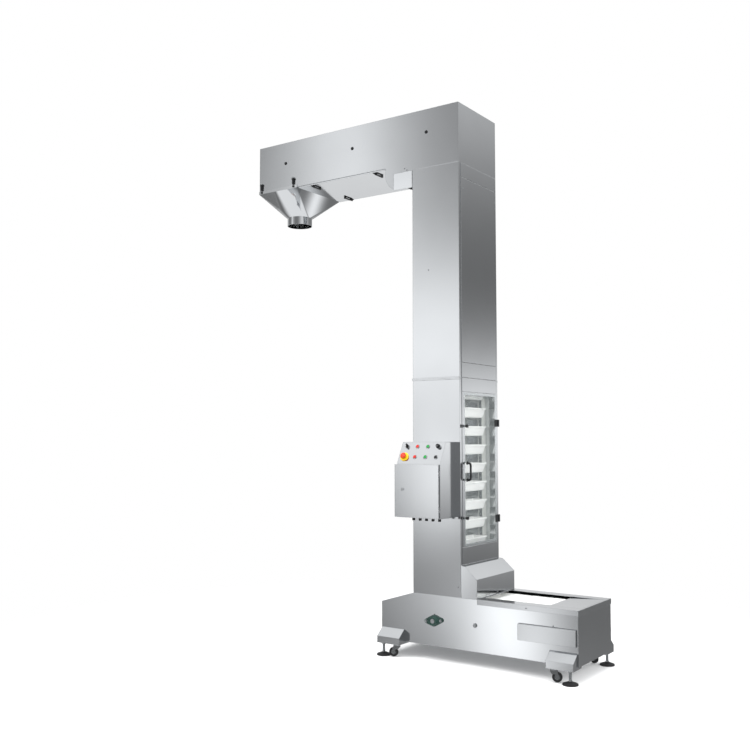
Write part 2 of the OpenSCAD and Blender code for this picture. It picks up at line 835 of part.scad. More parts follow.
module head_sides() {
    color(steel) placed() both_sides() {
        along_y(0, sheet) union() {
            head_outline();
            head_ear();
        }
        span([tray_x0, sheet, head_under], [tray_x1, sheet + lip, head_under + sheet]);
    }
}

module head_top() {
    color(steel) placed() span([-head_len + sheet, sheet, total_h - sheet], [-sheet, depth - sheet, total_h]);
}

module head_ends() {
    color(steel) placed() {
        span([-head_len, sheet, funnel_seat], [-head_len + sheet, depth - sheet, total_h]);
        span([-sheet, sheet, head_low], [0, depth - sheet, total_h]);
    }
}

module drip_tray() {
    color(steel) placed() difference() {
        span([tray_x0, sheet + 2, head_under - tray_h], [tray_x1, depth - sheet - 2, head_under]);
        span([tray_x0 + sheet, 2 * sheet + 2, head_under - tray_h + sheet],
            [tray_x1 - sheet, depth - 2 * sheet - 2, head_under + 1]);
    }
}

// a lever under the tray's edge: foot plate, pivot block and a rounded grip
module tray_clamps() {
    z1 = head_under - tray_h;
    color(dark) placed() for (x = [tray_x0 + 126, tray_x1 - 100]) both_sides() {
        span([x - 12, 8, z1 - 4], [x + 12, 34, z1]);
        bar_y(x, z1 - 7, 10, 10, 32);
        along_y(30, 8 + clamp_len) translate([x, z1 - 8]) {
            square([10, 8], center = true);
            for (s = [-1, 1]) translate([s * 5, 0]) circle(d = 8);
        }
        translate([x, 8 + clamp_len, z1 - 12]) cylinder(d = 18, h = 10);
    }
}

// a toggle latch: base on the beam, lever, and a bail round a hook on the funnel's rim
module funnel_latch() {
    r = latch_w / 2;
    top = funnel_z + latch_h;
    span([-r, -9, funnel_z + 6], [r, 0, top - 6]);
    span([-r + 3, -14, funnel_z + 12], [r - 3, -8, top + 4]);
    bar_x(-10, top, 10, -r - 2, r + 2);
    span([-r + 2, -sheet - 6, funnel_low + 5], [r - 2, -sheet, funnel_low + 17]);
    for (s = [-1, 1]) translate([s * (r - 4), -7.5, funnel_low + 12])
        cylinder(d = 3, h = top - funnel_low - 12);
}

module funnel_latches() {
    color(dark) placed() both_sides() for (x = [funnel_x0 + latch_in, funnel_x1 - latch_in - 7])
        translate([x, 0, 0]) funnel_latch();
}

module corner_guard() {
    color(steel) placed() {
        both_sides() span([ear_x, -2, guard_z + 1], [-col_w - 2, sheet - 1, head_low - 1]);
        along_y(sheet, depth - sheet) {
            difference() {
                intersection() {
                    translate([guard_skin_x, guard_skin_z0]) circle(r = guard_skin_r);
                    translate([guard_skin_x, guard_skin_z0]) square([-col_w - guard_skin_x, guard_skin_r]);
                }
                translate([guard_skin_x, guard_skin_z0]) circle(r = guard_skin_r - sheet);
            }
            translate([tray_x1 + 1, guard_skin_z0 + guard_skin_r - sheet])
                square([guard_skin_x - tray_x1 - 1 + 0.1, sheet]);
        }
    }
}

// discharge

module funnel_body(inset) {
    hull() {
        span([funnel_x0 + inset, -sheet + inset, funnel_low],
            [funnel_x1 - inset, depth + sheet - inset, funnel_low + 0.01 + inset]);
        translate([spout_x, mid_depth, spout_z1 - inset]) cylinder(d = spout_d - 2 * inset, h = 0.01, $fn = 48);
    }
}

module discharge_funnel() {
    color(polished) placed() {
        difference() {
            funnel_body(0);
            funnel_body(sheet);
        }
        difference() {
            span([funnel_x0, -sheet, funnel_low], [funnel_x1, depth + sheet, funnel_z]);
            span([funnel_x0 + sheet, 0, funnel_low - 1], [funnel_x1 - sheet, depth, funnel_z + 1]);
        }
    }
}

module discharge_spout() {
    color(polished) placed() translate([spout_x, mid_depth, spout_z0]) difference() {
        cylinder(d = spout_d, h = spout_z1 - spout_z0);
        translate([0, 0, -1]) cylinder(d = spout_d - 2 * sheet, h = spout_z1 - spout_z0 + 2);
    }
}

// chain, buckets and shafts

// a stretch of band along the loop, offset from the pitch line
module band_arc(x, z, r, a0, sweep, h, y0, y1) {
    translate([x, y1, z]) rotate([90, 0, 0]) rotate([0, 0, a0])
        rotate_extrude(angle = sweep) translate([r - h / 2, 0]) square([h, y1 - y0]);
}

// points of the loop's line, moved outwards by o
function arc_points(x, z, r, a0, a1, n = arc_steps) =
    [for (k = [0 : n]) [x + r * cos(a0 + (a1 - a0) * k / n), z + r * sin(a0 + (a1 - a0) * k / n)]];
function loop_outline(o) = concat(
    arc_points(bend_r - rise_x, run_high + bend_r, bend_r - o, 270, 180),
    arc_points(-rise_x - small_r, top_run_z - small_r, small_r + o, 0, 90),
    arc_points(head_x, head_z, big_r + o, 90, 270),
    arc_points(-fall_x - bend_r, head_run_z - bend_r, bend_r - o, 90, 0),
    arc_points(-foot_x, foot_z, small_r + o, 180, 270),
    arc_points(tail_x, tail_z, big_r + o, 270, 450));

// one endless chain plate
module band(y0, y1) {
    along_y(y0, y1) difference() {
        polygon(loop_outline(plate_h / 2));
        polygon(loop_outline(-plate_h / 2));
    }
}

module chains() {
    color("#8c8f90") placed() both_sides() {
        band(strand_in, strand_in + plate_t);
        band(strand_in + strand_w - plate_t, strand_in + strand_w);
        for (i = [0 : bucket_count - 1]) {
            p = on_loop(first_s + i * pitch);
            bar_y(p[0], p[1], pin_d, strand_in - 1, bucket_y0 - run_gap);
        }
    }
}

// the trough's outline with rounded lower corners, smaller by inset
function bucket_outline(inset, top) = concat(
    [[-bucket_mouth / 2 + inset, top]],
    arc_points(-bucket_base / 2, bucket_floor + bucket_round, bucket_round - inset, 180 + wall_lean, 270),
    arc_points(bucket_base / 2, bucket_floor + bucket_round, bucket_round - inset, 270, 360 - wall_lean),
    [[bucket_mouth / 2 - inset, top]]);

module bucket_lip() {
    polygon([[bucket_mouth / 2 - bucket_t, pivot_drop - bucket_t], [bucket_w / 2 - bucket_t, pivot_drop - bucket_t],
        [bucket_w / 2 - bucket_t, pivot_drop - lip_turn], [bucket_w / 2, pivot_drop - lip_turn],
        [bucket_w / 2, pivot_drop], [bucket_mouth / 2 - bucket_t, pivot_drop]]);
}

module bucket(i) {
    p = on_loop(first_s + i * pitch);
    translate([p[0], 0, p[1]]) difference() {
        union() {
            along_y(bucket_y0, bucket_y0 + bucket_len) {
                polygon(bucket_outline(0, pivot_drop));
                bucket_lip();
                mirror([1, 0]) bucket_lip();
            }
            both_sides() bar_y(0, 0, boss_d, bucket_y0 - boss_len, bucket_y0 + 1);
        }
        along_y(bucket_y0 + bucket_t, bucket_y0 + bucket_len - bucket_t)
            polygon(bucket_outline(bucket_t, pivot_drop + 1));
        both_sides() bar_y(0, 0, pin_d + 2 * pin_fit, bucket_y0 - boss_len - 1, bucket_y0);
    }
}

module infeed_buckets() {
    color(white) placed() for (i = [0 : infeed_buckets_n - 1]) bucket(i);
}

module loop_buckets() {
    color(white) placed() for (i = [infeed_buckets_n : bucket_count - 1]) bucket(i);
}

// a toothed disc in one strand: a round seat for every roller of the chain
module sprocket(x, z, r, teeth, seat_a) {
    w = plate_gap - 2;
    y0 = strand_in + plate_t + 1;
    translate([x, y0 + w, z]) rotate([90, 0, 0]) linear_extrude(w) difference() {
        circle(r = r + tooth_h);
        for (i = [0 : teeth - 1]) rotate([0, 0, seat_a + i * 360 / teeth]) translate([r, 0])
            circle(d = roller_d, $fn = 24);
        for (i = [0 : 4]) rotate([0, 0, i * 72]) translate([r * 0.58, 0]) circle(r = r * 0.16);
    }
    bar_y(x, z, hub_d, y0 - 2, y0 + w + 26);
}

// angle at which the first pin after station len0 lies on a sprocket
function seat_angle(len0, a0, r) = a0 + turned(first_s + ceil((len0 - first_s) / pitch) * pitch - len0, r);

// shaft position, sprocket radius, teeth, the reach past the housing and the angle of a seat
shafts = [
    [tail_x, tail_z, big_r, big_teeth, cover_proud - 4, seat_angle(len_k, 270, big_r)],
    [-foot_x, foot_z, small_r, small_teeth, 24, seat_angle(len_i, 180, small_r)],
    [-rise_x - small_r, top_run_z - small_r, small_r, small_teeth, -sheet - run_gap, seat_angle(len_c, 0, small_r)],
    [head_x, head_z, big_r, big_teeth, -sheet - run_gap, seat_angle(len_e, 90, big_r)]];

module sprocket_shafts() {
    color("#7f8386") placed() for (s = shafts) {
        bar_y(s[0], s[1], shaft_d, -s[4], depth + s[4]);
        both_sides() sprocket(s[0], s[1], s[2], s[3], s[5]);
    }
}

module guide_rails() {
    rail = 4;
    off = plate_h / 2 + rail_gap;
    y1 = strand_in + strand_w;
    color("#9fa3a5") placed() both_sides() {
        span([bend_r - rise_x, sheet, run_high - off - rail], [tail_x - big_r, y1, run_high - off]);
        span([-foot_x + big_r, sheet, run_low - off - rail], [tail_x - big_r, y1, run_low - off]);
        for (x = [-rise_x - off - rail, -rise_x + off])
            span([x, sheet, run_high + bend_r], [x + rail, y1, top_run_z - small_r - 60]);
        for (x = [-fall_x - off - rail, -fall_x + off])
            span([x, sheet, foot_z + small_r], [x + rail, y1, head_run_z - bend_r]);
        span([head_x + big_r, sheet, top_run_z - off - rail], [-rise_x - small_r - big_r, y1, top_run_z - off]);
        span([head_x + big_r, sheet, head_run_z - off - rail], [-fall_x - bend_r, y1, head_run_z - off]);
        band_arc(bend_r - rise_x, run_high + bend_r, bend_r - off - rail / 2, 180, 90, rail, corner + run_gap, y1);
        band_arc(-fall_x - bend_r, head_run_z - bend_r, bend_r - off - rail / 2, 0, 90, rail, sheet, y1);
    }
}

module bearing_body() {
    translate([-foot_x, 0, foot_z]) rotate([90, 0, 0]) difference() {
        union() {
            rotate([0, 0, bearing_tilt]) hull() {
                cylinder(r = bearing_r, h = flange_t, $fn = 32);
                for (s = [-1, 1]) translate([s * bearing_reach, 0, 0]) cylinder(r = 14, h = flange_t, $fn = 32);
            }
            rotate_extrude() polygon([[0, 0], [bearing_r - 2, 0], [bearing_r - 2, flange_t + 1],
                [bearing_r - 6, flange_t + 7], [bearing_r - 6, bearing_h - 3], [bearing_r - 10, bearing_h],
                [0, bearing_h]]);
            rotate([0, 0, bearing_tilt + 90]) translate([bearing_r - 4, 0, flange_t + 5]) rotate([0, 90, 0])
                cylinder(d = 8, h = 6);
        }
        translate([0, 0, -1]) cylinder(d = shaft_d + 2 * pin_fit, h = bearing_h + 2);
        translate([0, 0, bearing_h - 3]) cylinder(d = 44, h = 4);
        for (s = [-1, 1]) rotate([0, 0, bearing_tilt]) translate([s * bearing_reach, 0, -1])
            cylinder(d = bolt_d + 1, h = bearing_h);
    }
}

module bearing_bolts() {
    color(polished) placed() both_sides() for (s = [-1, 1])
        translate([-foot_x, 0, foot_z]) rotate([90, 0, 0]) rotate([0, 0, bearing_tilt]) translate([s * bearing_reach, 0, flange_t]) {
            cylinder(d = bolt_d + 9, h = 1.5);
            cylinder(d = bolt_d + 6, h = 8, $fn = 6);
            translate([0, 0, 1 - flange_t]) cylinder(d = bolt_d, h = flange_t + 9);
        }
}

// a round plug in each side sheet
module side_plugs() {
    color("#8f9496") placed() both_sides() {
        bar_y(plug_x, plug_z, 28, -5, 0);
        bar_y(plug_x, plug_z, 20, -9, -4);
    }
}

module flange_bearings() {
    color(cast) placed() both_sides() bearing_body();
}

module gear_motor() {
    y1 = depth + gear_depth;
    ym = y1 - motor_d / 2;
    x1 = head_x + gear_size / 2;
    color("#5d6b75") placed() {
        span([head_x - gear_size / 2, depth + 8, head_z - gear_size / 2], [x1, y1 - 10, head_z + gear_size / 2]);
        bar_y(head_x, head_z, gear_size + 24, depth, depth + 9);
        bar_y(head_x, head_z, 88, y1 - 11, y1 - 4);
        bar_y(head_x, head_z, 46, y1 - 5, y1);
        bar_x(ym, head_z, motor_d, x1 - 1, x1 + 14);
        bar_x(ym, head_z, motor_d - 12, x1 + 13, x1 + motor_len - 50);
        for (i = [0 : 8]) bar_x(ym, head_z, motor_d - 3, x1 + 24 + i * 18, x1 + 28 + i * 18);
        bar_x(ym, head_z, motor_d, x1 + motor_len - 56, x1 + motor_len);
        span([x1 + 60, ym - 28, head_z + 40], [x1 + 130, ym + 28, head_z + 78]);
    }
}

// control box

module box_outline(inset) {
    polygon([[0 - inset, box_z0 + inset], [-box_d + inset, box_z0 + inset], [-box_d + inset, box_front_z - inset * 0.4],
        [-box_top_d + inset * 0.6, box_z1 - inset], [0 - inset, box_z1 - inset]]);
}

module on_panel(u, v) {
    translate([u, -box_d, box_front_z]) rotate([panel_tilt, 0, 0]) translate([0, v, 0]) children();
}

module control_box() {
    color(steel) placed() difference() {
        along_x(box_x0, box_x1) box_outline(0);
        along_x(box_x0 + sheet, box_x1 - sheet) box_outline(sheet);
        span([box_x0 + 20, -box_d - 1, box_z0 + 18], [box_x1 - 20, -box_d + sheet + 1, box_front_z - 18]);
        for (i = [0 : 3], v = [row_top, row_low])
            on_panel(control_x0 + i * control_gap, v) translate([0, 0, -12]) cylinder(d = 22.5, h = 20);
        for (i = [0 : 4])
            translate([gland_x0 + i * gland_gap, gland_y, box_z0 - 1]) cylinder(d = 16.2, h = sheet + 2);
    }
}

module cable_glands() {
    color(dark) placed() for (i = [0 : 4]) translate([gland_x0 + i * gland_gap, gland_y, box_z0]) {
        translate([0, 0, -6]) cylinder(d = 24, h = 6, $fn = 6);
        translate([0, 0, -22]) cylinder(d = 20, h = 17);
        translate([0, 0, -1]) cylinder(d = 16, h = sheet + 8);
    }
}

module control_door() {
    color(steel) placed() {
        difference() {
            span([door_x0, door_front, door_z0], [door_x1, -box_d - run_gap, door_z1]);
            span([door_x0 + sheet, door_front + sheet, door_z0 + sheet], [door_x1 - sheet, -box_d, door_z1 - sheet]);
        }
        for (z = box_hinge_z) difference() {
            union() {
                translate([door_axis_x, door_axis_y, z - lug_h / 2 + run_gap])
                    cylinder(r = lug_r, h = lug_h - 2 * run_gap);
                span([door_x1 - 1, door_axis_y - lug_r, z - lug_h / 2 + run_gap],
                    [door_axis_x, door_axis_y - lug_r + 2, z + lug_h / 2 - run_gap]);
            }
            translate([door_axis_x, door_axis_y, z - lug_h]) cylinder(d = lug_pin + 2 * pin_fit, h = 2 * lug_h);
        }
        translate([lock_x, door_front, lock_z]) rotate([90, 0, 0]) difference() {
            rotate_extrude() polygon([[0, -1], [11, -1], [11, lock_h - 2], [9, lock_h], [0, lock_h]]);
            translate([0, 0, lock_h - 2]) linear_extrude(3) square([3, 9], center = true);
        }
    }
}

// fixed lugs and pins of the control door's hinges
module box_hinges() {
    color(steel) placed() for (z = box_hinge_z) {
        for (s = [-1, 1]) translate([0, 0, z + s * lug_h]) {
            translate([door_axis_x, door_axis_y, -lug_h / 2]) cylinder(r = lug_r, h = lug_h);
            span([door_axis_x - 1.5, door_axis_y, -lug_h / 2], [door_axis_x + 1.5, -box_d, lug_h / 2]);
        }
        translate([door_axis_x, door_axis_y, z - 1.5 * lug_h + 1]) cylinder(d = lug_pin, h = 3 * lug_h - 2);
    }
}

module panel_controls() {
    color(polished) placed() {
        for (i = [1 : 2]) on_panel(control_x0 + i * control_gap, row_top) push_button();
        for (i = [1 : 3]) on_panel(control_x0 + i * control_gap, row_low) push_button();
        for (i = [0, 3]) on_panel(control_x0 + i * control_gap, row_top) bezel(bezel_d, 6);
        on_panel(control_x0, row_low) bezel(stop_ring_d, 5);
    }
}

module bezel(d, h) {
    difference() {
        union() {
            cylinder(d = d, h = h);
            translate([0, 0, -18]) cylinder(d = 22, h = 19);
        }
        translate([0, 0, -12]) cylinder(d = 12 + 2 * pin_fit, h = 40);
    }
}

module push_button() {
    rotate_extrude() polygon([[0, -18], [11, -18], [11, 0], [bezel_d / 2, 0], [bezel_d / 2, 2],
        [bezel_d / 2 - 2, 5], [12, 5], [12, 3], [10.5, 3], [10.5, 6.5], [9.5, 7.5], [0, 7.5]]);
}

module stop_button() {
    z0 = 5 + stop_travel;
    r = stop_d / 2;
    color(red) placed() on_panel(control_x0, row_low) rotate_extrude() polygon(concat(
        [[0, z0 - 11], [6, z0 - 11], [6, z0 + 1], [12, z0 + 1], [12, z0 + 8], [r - 2, z0 + 8], [r, z0 + 10]],
        arc_points(r - 8, z0 + 12, 8, 0, 70), [[0, z0 + 21.5]]));
}

module mode_selector() {
    color(dark) placed() on_panel(control_x0, row_top) {
        translate([0, 0, -10]) cylinder(d = 12, h = 18);
        translate([0, 0, 6 + run_gap]) cylinder(d = 24, h = 5);
        translate([0, 0, 10]) linear_extrude(12) intersection() {
            square([8, 26], center = true);
            circle(d = 25);
        }
    }
}

module speed_knob() {
    z0 = 6 + run_gap;
    color(dark) placed() on_panel(control_x0 + 3 * control_gap, row_top) difference() {
        rotate_extrude() polygon([[0, -10], [6, -10], [6, z0], [15, z0], [15, z0 + 3], [12.5, z0 + 4], [11.5, z0 + 15],
            [10.5, z0 + 16], [0, z0 + 16]]);
        for (i = [0 : 11]) rotate([0, 0, i * 30]) translate([13, 0, z0 + 5]) cylinder(d = 3, h = 20);
    }
}

base_sides();
base_ends();
base_floor();
infeed_rim();
infeed_slide();
side_covers();
feed_hood();
foot_brackets();
foot_stems();
foot_pads();
caster_fork_1();
caster_fork_2();
caster_fork_3();
caster_fork_4();
caster_wheel_1();
caster_wheel_2();
caster_wheel_3();
caster_wheel_4();
lower_column();
upper_column();
upper_cover();
cover_strips();
window_frame();
inspection_door();
door_handle();
door_knob_1();
door_knob_2();
door_hinges();
hinge_seats();
head_sides();
head_top();
head_ends();
drip_tray();
tray_clamps();
corner_guard();
funnel_latches();
discharge_funnel();
discharge_spout();
guide_rails();
chains();
infeed_buckets();
loop_buckets();
sprocket_shafts();
flange_bearings();
bearing_bolts();
side_plugs();
gear_motor();
control_box();
control_door();
box_hinges();
cable_glands();
panel_controls();
stop_button();
mode_selector();
speed_knob();
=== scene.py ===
"""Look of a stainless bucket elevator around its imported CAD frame."""

import logging
import math
from dataclasses import dataclass, field, replace
from enum import Enum
from typing import Iterable, Sequence

import bmesh
import bpy
from mathutils import Euler, Matrix, Vector

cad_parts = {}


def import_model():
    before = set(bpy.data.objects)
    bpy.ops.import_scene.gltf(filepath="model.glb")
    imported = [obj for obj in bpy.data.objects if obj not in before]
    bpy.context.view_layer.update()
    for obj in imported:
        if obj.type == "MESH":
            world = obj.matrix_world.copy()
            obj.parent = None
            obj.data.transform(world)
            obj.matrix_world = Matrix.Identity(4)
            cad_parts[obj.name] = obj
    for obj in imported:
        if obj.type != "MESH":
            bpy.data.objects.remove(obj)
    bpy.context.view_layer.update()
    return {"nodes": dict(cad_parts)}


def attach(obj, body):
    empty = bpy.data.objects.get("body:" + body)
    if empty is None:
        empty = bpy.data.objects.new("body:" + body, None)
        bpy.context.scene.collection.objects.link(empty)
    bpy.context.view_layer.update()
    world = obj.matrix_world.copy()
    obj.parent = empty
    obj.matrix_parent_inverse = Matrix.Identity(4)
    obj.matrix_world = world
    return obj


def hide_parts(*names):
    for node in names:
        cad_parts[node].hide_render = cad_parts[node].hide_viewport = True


LOG = logging.getLogger("bucket_elevator")
Vec = Sequence[float]

# The construction axes start under the column's front right edge; the row frame in mid-footprint.
MID_X, MID_Y = -493.5, 213.35
DEPTH = 532.0
ROOT = "machine"


def row(x: float, y: float, z: float) -> Vector:
    """Turn construction millimetres into row-frame metres.

    Args:
        x: Distance along the beam in millimetres.
        y: Distance from front to back in millimetres.
        z: Height in millimetres.

    Returns:
        The point in metres.
    """
    return Vector(((x - MID_X) / 1000, (y - MID_Y) / 1000, z / 1000))


def linear(hex_colour: str) -> tuple[float, float, float, float]:
    """Turn an sRGB hex colour into linear RGBA.

    Args:
        hex_colour: Six hex digits after a hash.

    Returns:
        Linear red, green, blue and an alpha of 1.
    """
    raw = [int(hex_colour[i:i + 2], 16) / 255 for i in (1, 3, 5)]
    red, green, blue = (c / 12.92 if c <= 0.04045 else ((c + 0.055) / 1.055) ** 2.4 for c in raw)
    return red, green, blue, 1.0


class Grain(Enum):
    """Direction in which a brushed finish runs, as stretch factors of its noise."""

    NONE = (1.0, 1.0, 1.0)
    ALONG_X = (0.02, 1.0, 1.0)
    ALONG_Z = (1.0, 1.0, 0.02)
    CAST = (1.0, 1.0, 1.001)


@dataclass(frozen=True)
class Finish:
    """One procedural material, named for what it is made of and how."""

    name: str
    colour: str
    metallic: float = 0.0
    roughness: float = 0.5
    ior: float = 1.5
    grain: Grain = Grain.NONE
    grain_size_mm: float = 0.6
    rough_spread: float = 0.0
    bump_mm: float = 0.0
    patch_mm: float = 0.0
    patch_depth: float = 0.0
    coat: float = 0.0
    alpha: float = 1.0
    edge_mm: float = 0.0
    brushed: float = 0.0
    # Tilt added to the shading normal: painted light and shade, a flat sheet made to mirror another part of the
    # studio.
    lean: tuple[float, float, float] = (0.0, 0.0, 0.0)

    def material(self) -> bpy.types.Material:
        """Build the material once and hand it out again later.

        Returns:
            The Blender material.
        """
        known = bpy.data.materials.get(self.name)
        return known if known else self._build()

    def _build(self) -> bpy.types.Material:
        mat = bpy.data.materials.new(self.name)
        mat.use_nodes = True
        tree = mat.node_tree
        shader = tree.nodes["Principled BSDF"]
        for socket, value in (("Base Color", linear(self.colour)), ("Metallic", self.metallic),
                              ("Roughness", self.roughness), ("IOR", self.ior), ("Coat Weight", self.coat),
                              ("Alpha", self.alpha), ("Anisotropic", self.brushed)):
            shader.inputs[socket].default_value = value
        if self.brushed:
            self._brush(tree, shader)
        mat.diffuse_color = linear(self.colour)
        normal = None
        if self.edge_mm:
            bevel = add_node(tree, "ShaderNodeBevel", Radius=self.edge_mm / 1000)
            bevel.samples = 4
            normal = bevel.outputs["Normal"]
        coords = add_node(tree, "ShaderNodeTexCoord").outputs["Object"]
        if self.grain is not Grain.NONE:
            stretch = add_node(tree, "ShaderNodeMapping", Vector=coords, Scale=self.grain.value)
            noise = add_node(tree, "ShaderNodeTexNoise", Vector=stretch.outputs[0],
                             Scale=1000 / self.grain_size_mm, Detail=3.0, Roughness=0.6)
            if self.rough_spread:
                spread = add_node(tree, "ShaderNodeMapRange", Value=noise.outputs[0])
                spread.inputs["To Min"].default_value = self.roughness - self.rough_spread
                spread.inputs["To Max"].default_value = self.roughness + self.rough_spread
                tree.links.new(spread.outputs[0], shader.inputs["Roughness"])
            if self.bump_mm:
                bump = add_node(tree, "ShaderNodeBump", Height=noise.outputs[0], Distance=self.bump_mm / 1000)
                bump.inputs["Strength"].default_value = 0.6
                if normal:
                    tree.links.new(normal, bump.inputs["Normal"])
                normal = bump.outputs[0]
        if self.patch_mm:
            patch = add_node(tree, "ShaderNodeTexNoise", Vector=coords, Scale=1000 / self.patch_mm, Detail=2.0)
            ramp = add_node(tree, "ShaderNodeMapRange", Value=patch.outputs[0])
            ramp.inputs["From Min"].default_value = 0.35
            ramp.inputs["From Max"].default_value = 0.65
            ramp.inputs["To Min"].default_value = 1 - self.patch_depth
            ramp.inputs["To Max"].default_value = 1.0
            mix = add_node(tree, "ShaderNodeVectorMath")
            mix.operation = "SCALE"
            mix.inputs[0].default_value = linear(self.colour)[:3]
            tree.links.new(ramp.outputs[0], mix.inputs["Scale"])
            tree.links.new(mix.outputs[0], shader.inputs["Base Color"])
        # Painted light and shade: the shading normal leans, so the flat sheet mirrors another part of the studio.
        if any(self.lean):
            start = normal or add_node(tree, "ShaderNodeNewGeometry").outputs["Normal"]
            leaned = tree.nodes.new("ShaderNodeVectorMath")
            tree.links.new(start, leaned.inputs[0])
            leaned.inputs[1].default_value = self.lean
            level = tree.nodes.new("ShaderNodeVectorMath")
            level.operation = "NORMALIZE"
            tree.links.new(leaned.outputs[0], level.inputs[0])
            normal = level.outputs[0]
        if normal:
            tree.links.new(normal, shader.inputs["Normal"])
        return mat

    def _brush(self, tree: bpy.types.NodeTree, shader: bpy.types.Node) -> None:
        """Spread the reflections across the brush lines."""
        if self.grain is Grain.ALONG_Z:
            flat = add_node(tree, "ShaderNodeNewGeometry").outputs["Normal"]
            cross = tree.nodes.new("ShaderNodeVectorMath")
            cross.operation = "CROSS_PRODUCT"
            tree.links.new(flat, cross.inputs[0])
            cross.inputs[1].default_value = (0.011, 0.017, 1.0)
            tree.links.new(cross.outputs[0], shader.inputs["Tangent"])
        else:
            across = add_node(tree, "ShaderNodeCombineXYZ", X=0.011, Y=0.017, Z=1.0)
            tree.links.new(across.outputs[0], shader.inputs["Tangent"])


def math_node(tree: bpy.types.NodeTree, operation: str, *values: object) -> bpy.types.NodeSocket:
    """Add one Math node.

    Args:
        tree: The tree that gets the node.
        operation: Blender's name of the operation.
        *values: A number or an output socket for each input.

    Returns:
        The result's socket.
    """
    node = tree.nodes.new("ShaderNodeMath")
    node.operation = operation
    for socket, value in zip(node.inputs, values):
        if isinstance(value, bpy.types.NodeSocket):
            tree.links.new(value, socket)
        else:
            socket.default_value = value
    return node.outputs[0]


def add_node(tree: bpy.types.NodeTree, kind: str, **inputs: object) -> bpy.types.Node:
    """Add one node and set or link its inputs.

    Args:
        tree: The tree that gets the node.
        kind: Blender's class name of the node.
        **inputs: Input names with a value or an output socket each; an underscore stands for a space.

    Returns:
        The new node.
    """
    node = tree.nodes.new(kind)
    for name, value in inputs.items():
        socket = node.inputs[name.replace("_", " ")]
        if isinstance(value, bpy.types.NodeSocket):
            tree.links.new(value, socket)
        else:
            socket.default_value = value
    return node


SHEET_UP = Finish("Stainless sheet, brushed upright", "#ced0d2", 1.0, 0.13, 2.5, Grain.ALONG_Z, 0.9, 0.02, 0.002,
                  420.0, 0.04, edge_mm=4.0, brushed=0.5)
SHEET_ALONG = Finish("Stainless sheet, brushed lengthwise", "#ced0d2", 1.0, 0.13, 2.5, Grain.ALONG_X, 0.9, 0.02, 0.002,
                     420.0, 0.04, edge_mm=4.0, brushed=0.5)
# Copies with a leaning shading normal, tilted down on the base side and the guard and up on the hood: painted light
# and shade, the sheets themselves are flat.
SHEET_BASE = replace(SHEET_ALONG, name="Stainless sheet, brushed lengthwise, base side", lean=(0.0, 0.0, -0.09))
SHEET_HOOD = replace(SHEET_UP, name="Stainless sheet, brushed upright, hood", lean=(0.0, 0.0, 0.05))
SHEET_GUARD = replace(SHEET_UP, name="Stainless sheet, brushed upright, guard", lean=(0.0, 0.0, -0.08))
POLISHED = Finish("Stainless sheet, mirror polished", "#d6d8da", 1.0, 0.09, 2.5, Grain.CAST, 40.0, 0.03, 0.02,
                  edge_mm=0.8)
ZINC = Finish("Steel, zinc plated", "#b9bcbe", 1.0, 0.28, 2.5, Grain.CAST, 3.0, 0.06, edge_mm=0.4)
CHAIN_STEEL = Finish("Roller chain steel, oiled", "#777a7c", 1.0, 0.34, 2.5, Grain.CAST, 6.0, 0.08)
RAIL_PLASTIC = Finish("Guide rail polyethylene, extruded", "#c9cbc6", 0.0, 0.45, 1.53)
BUCKET = Finish("Bucket polypropylene, injection moulded", "#f1f2f0", 0.0, 0.38, 1.49, Grain.CAST, 2.0, 0.04, edge_mm=0.8)
CLEAR = Finish("Door polycarbonate, clear sheet", "#c9d2d3", 0.0, 0.03, 1.58, alpha=0.1)
BLACK = Finish("Black polyamide, moulded", "#17181a", 0.0, 0.42, 1.53, Grain.CAST, 0.8, 0.05, 0.01, edge_mm=0.6)
RUBBER = Finish("Black rubber, moulded", "#1b1b1c", 0.0, 0.62, 1.52, Grain.CAST, 1.2, 0.05, 0.02, edge_mm=0.8)
HUB = Finish("Grey polyamide hub, moulded", "#55585a", 0.0, 0.4, 1.53)
GREEN_CAST = Finish("Cast iron, dark green paint", "#1f3a34", 0.0, 0.38, 1.5, Grain.CAST, 2.5, 0.06, 0.06, coat=0.3,
                    edge_mm=1.5)
DRIVE_PAINT = Finish("Aluminium casting, grey blue paint", "#5d6b75", 0.0, 0.4, 1.5, Grain.CAST, 2.0, 0.05, 0.04,
                     edge_mm=1.5)
STOP_RED = Finish("Stop button, orange red moulding", "#d8391c", 0.0, 0.3, 1.53, coat=0.3, edge_mm=0.6)
YELLOW = Finish("Yellow ring, moulded", "#e8c21f", 0.0, 0.4, 1.53)
KEY_RED = Finish("Push button cap, red", "#c02a22", 0.0, 0.32, 1.53)
KEY_GREEN = Finish("Push button cap, green", "#1f8a3c", 0.0, 0.32, 1.53)
KEY_BLACK = Finish("Push button cap, black", "#1c1d1f", 0.0, 0.32, 1.53)
WHITE_MARK = Finish("White inlay", "#f2f2f0", 0.0, 0.5, 1.5)

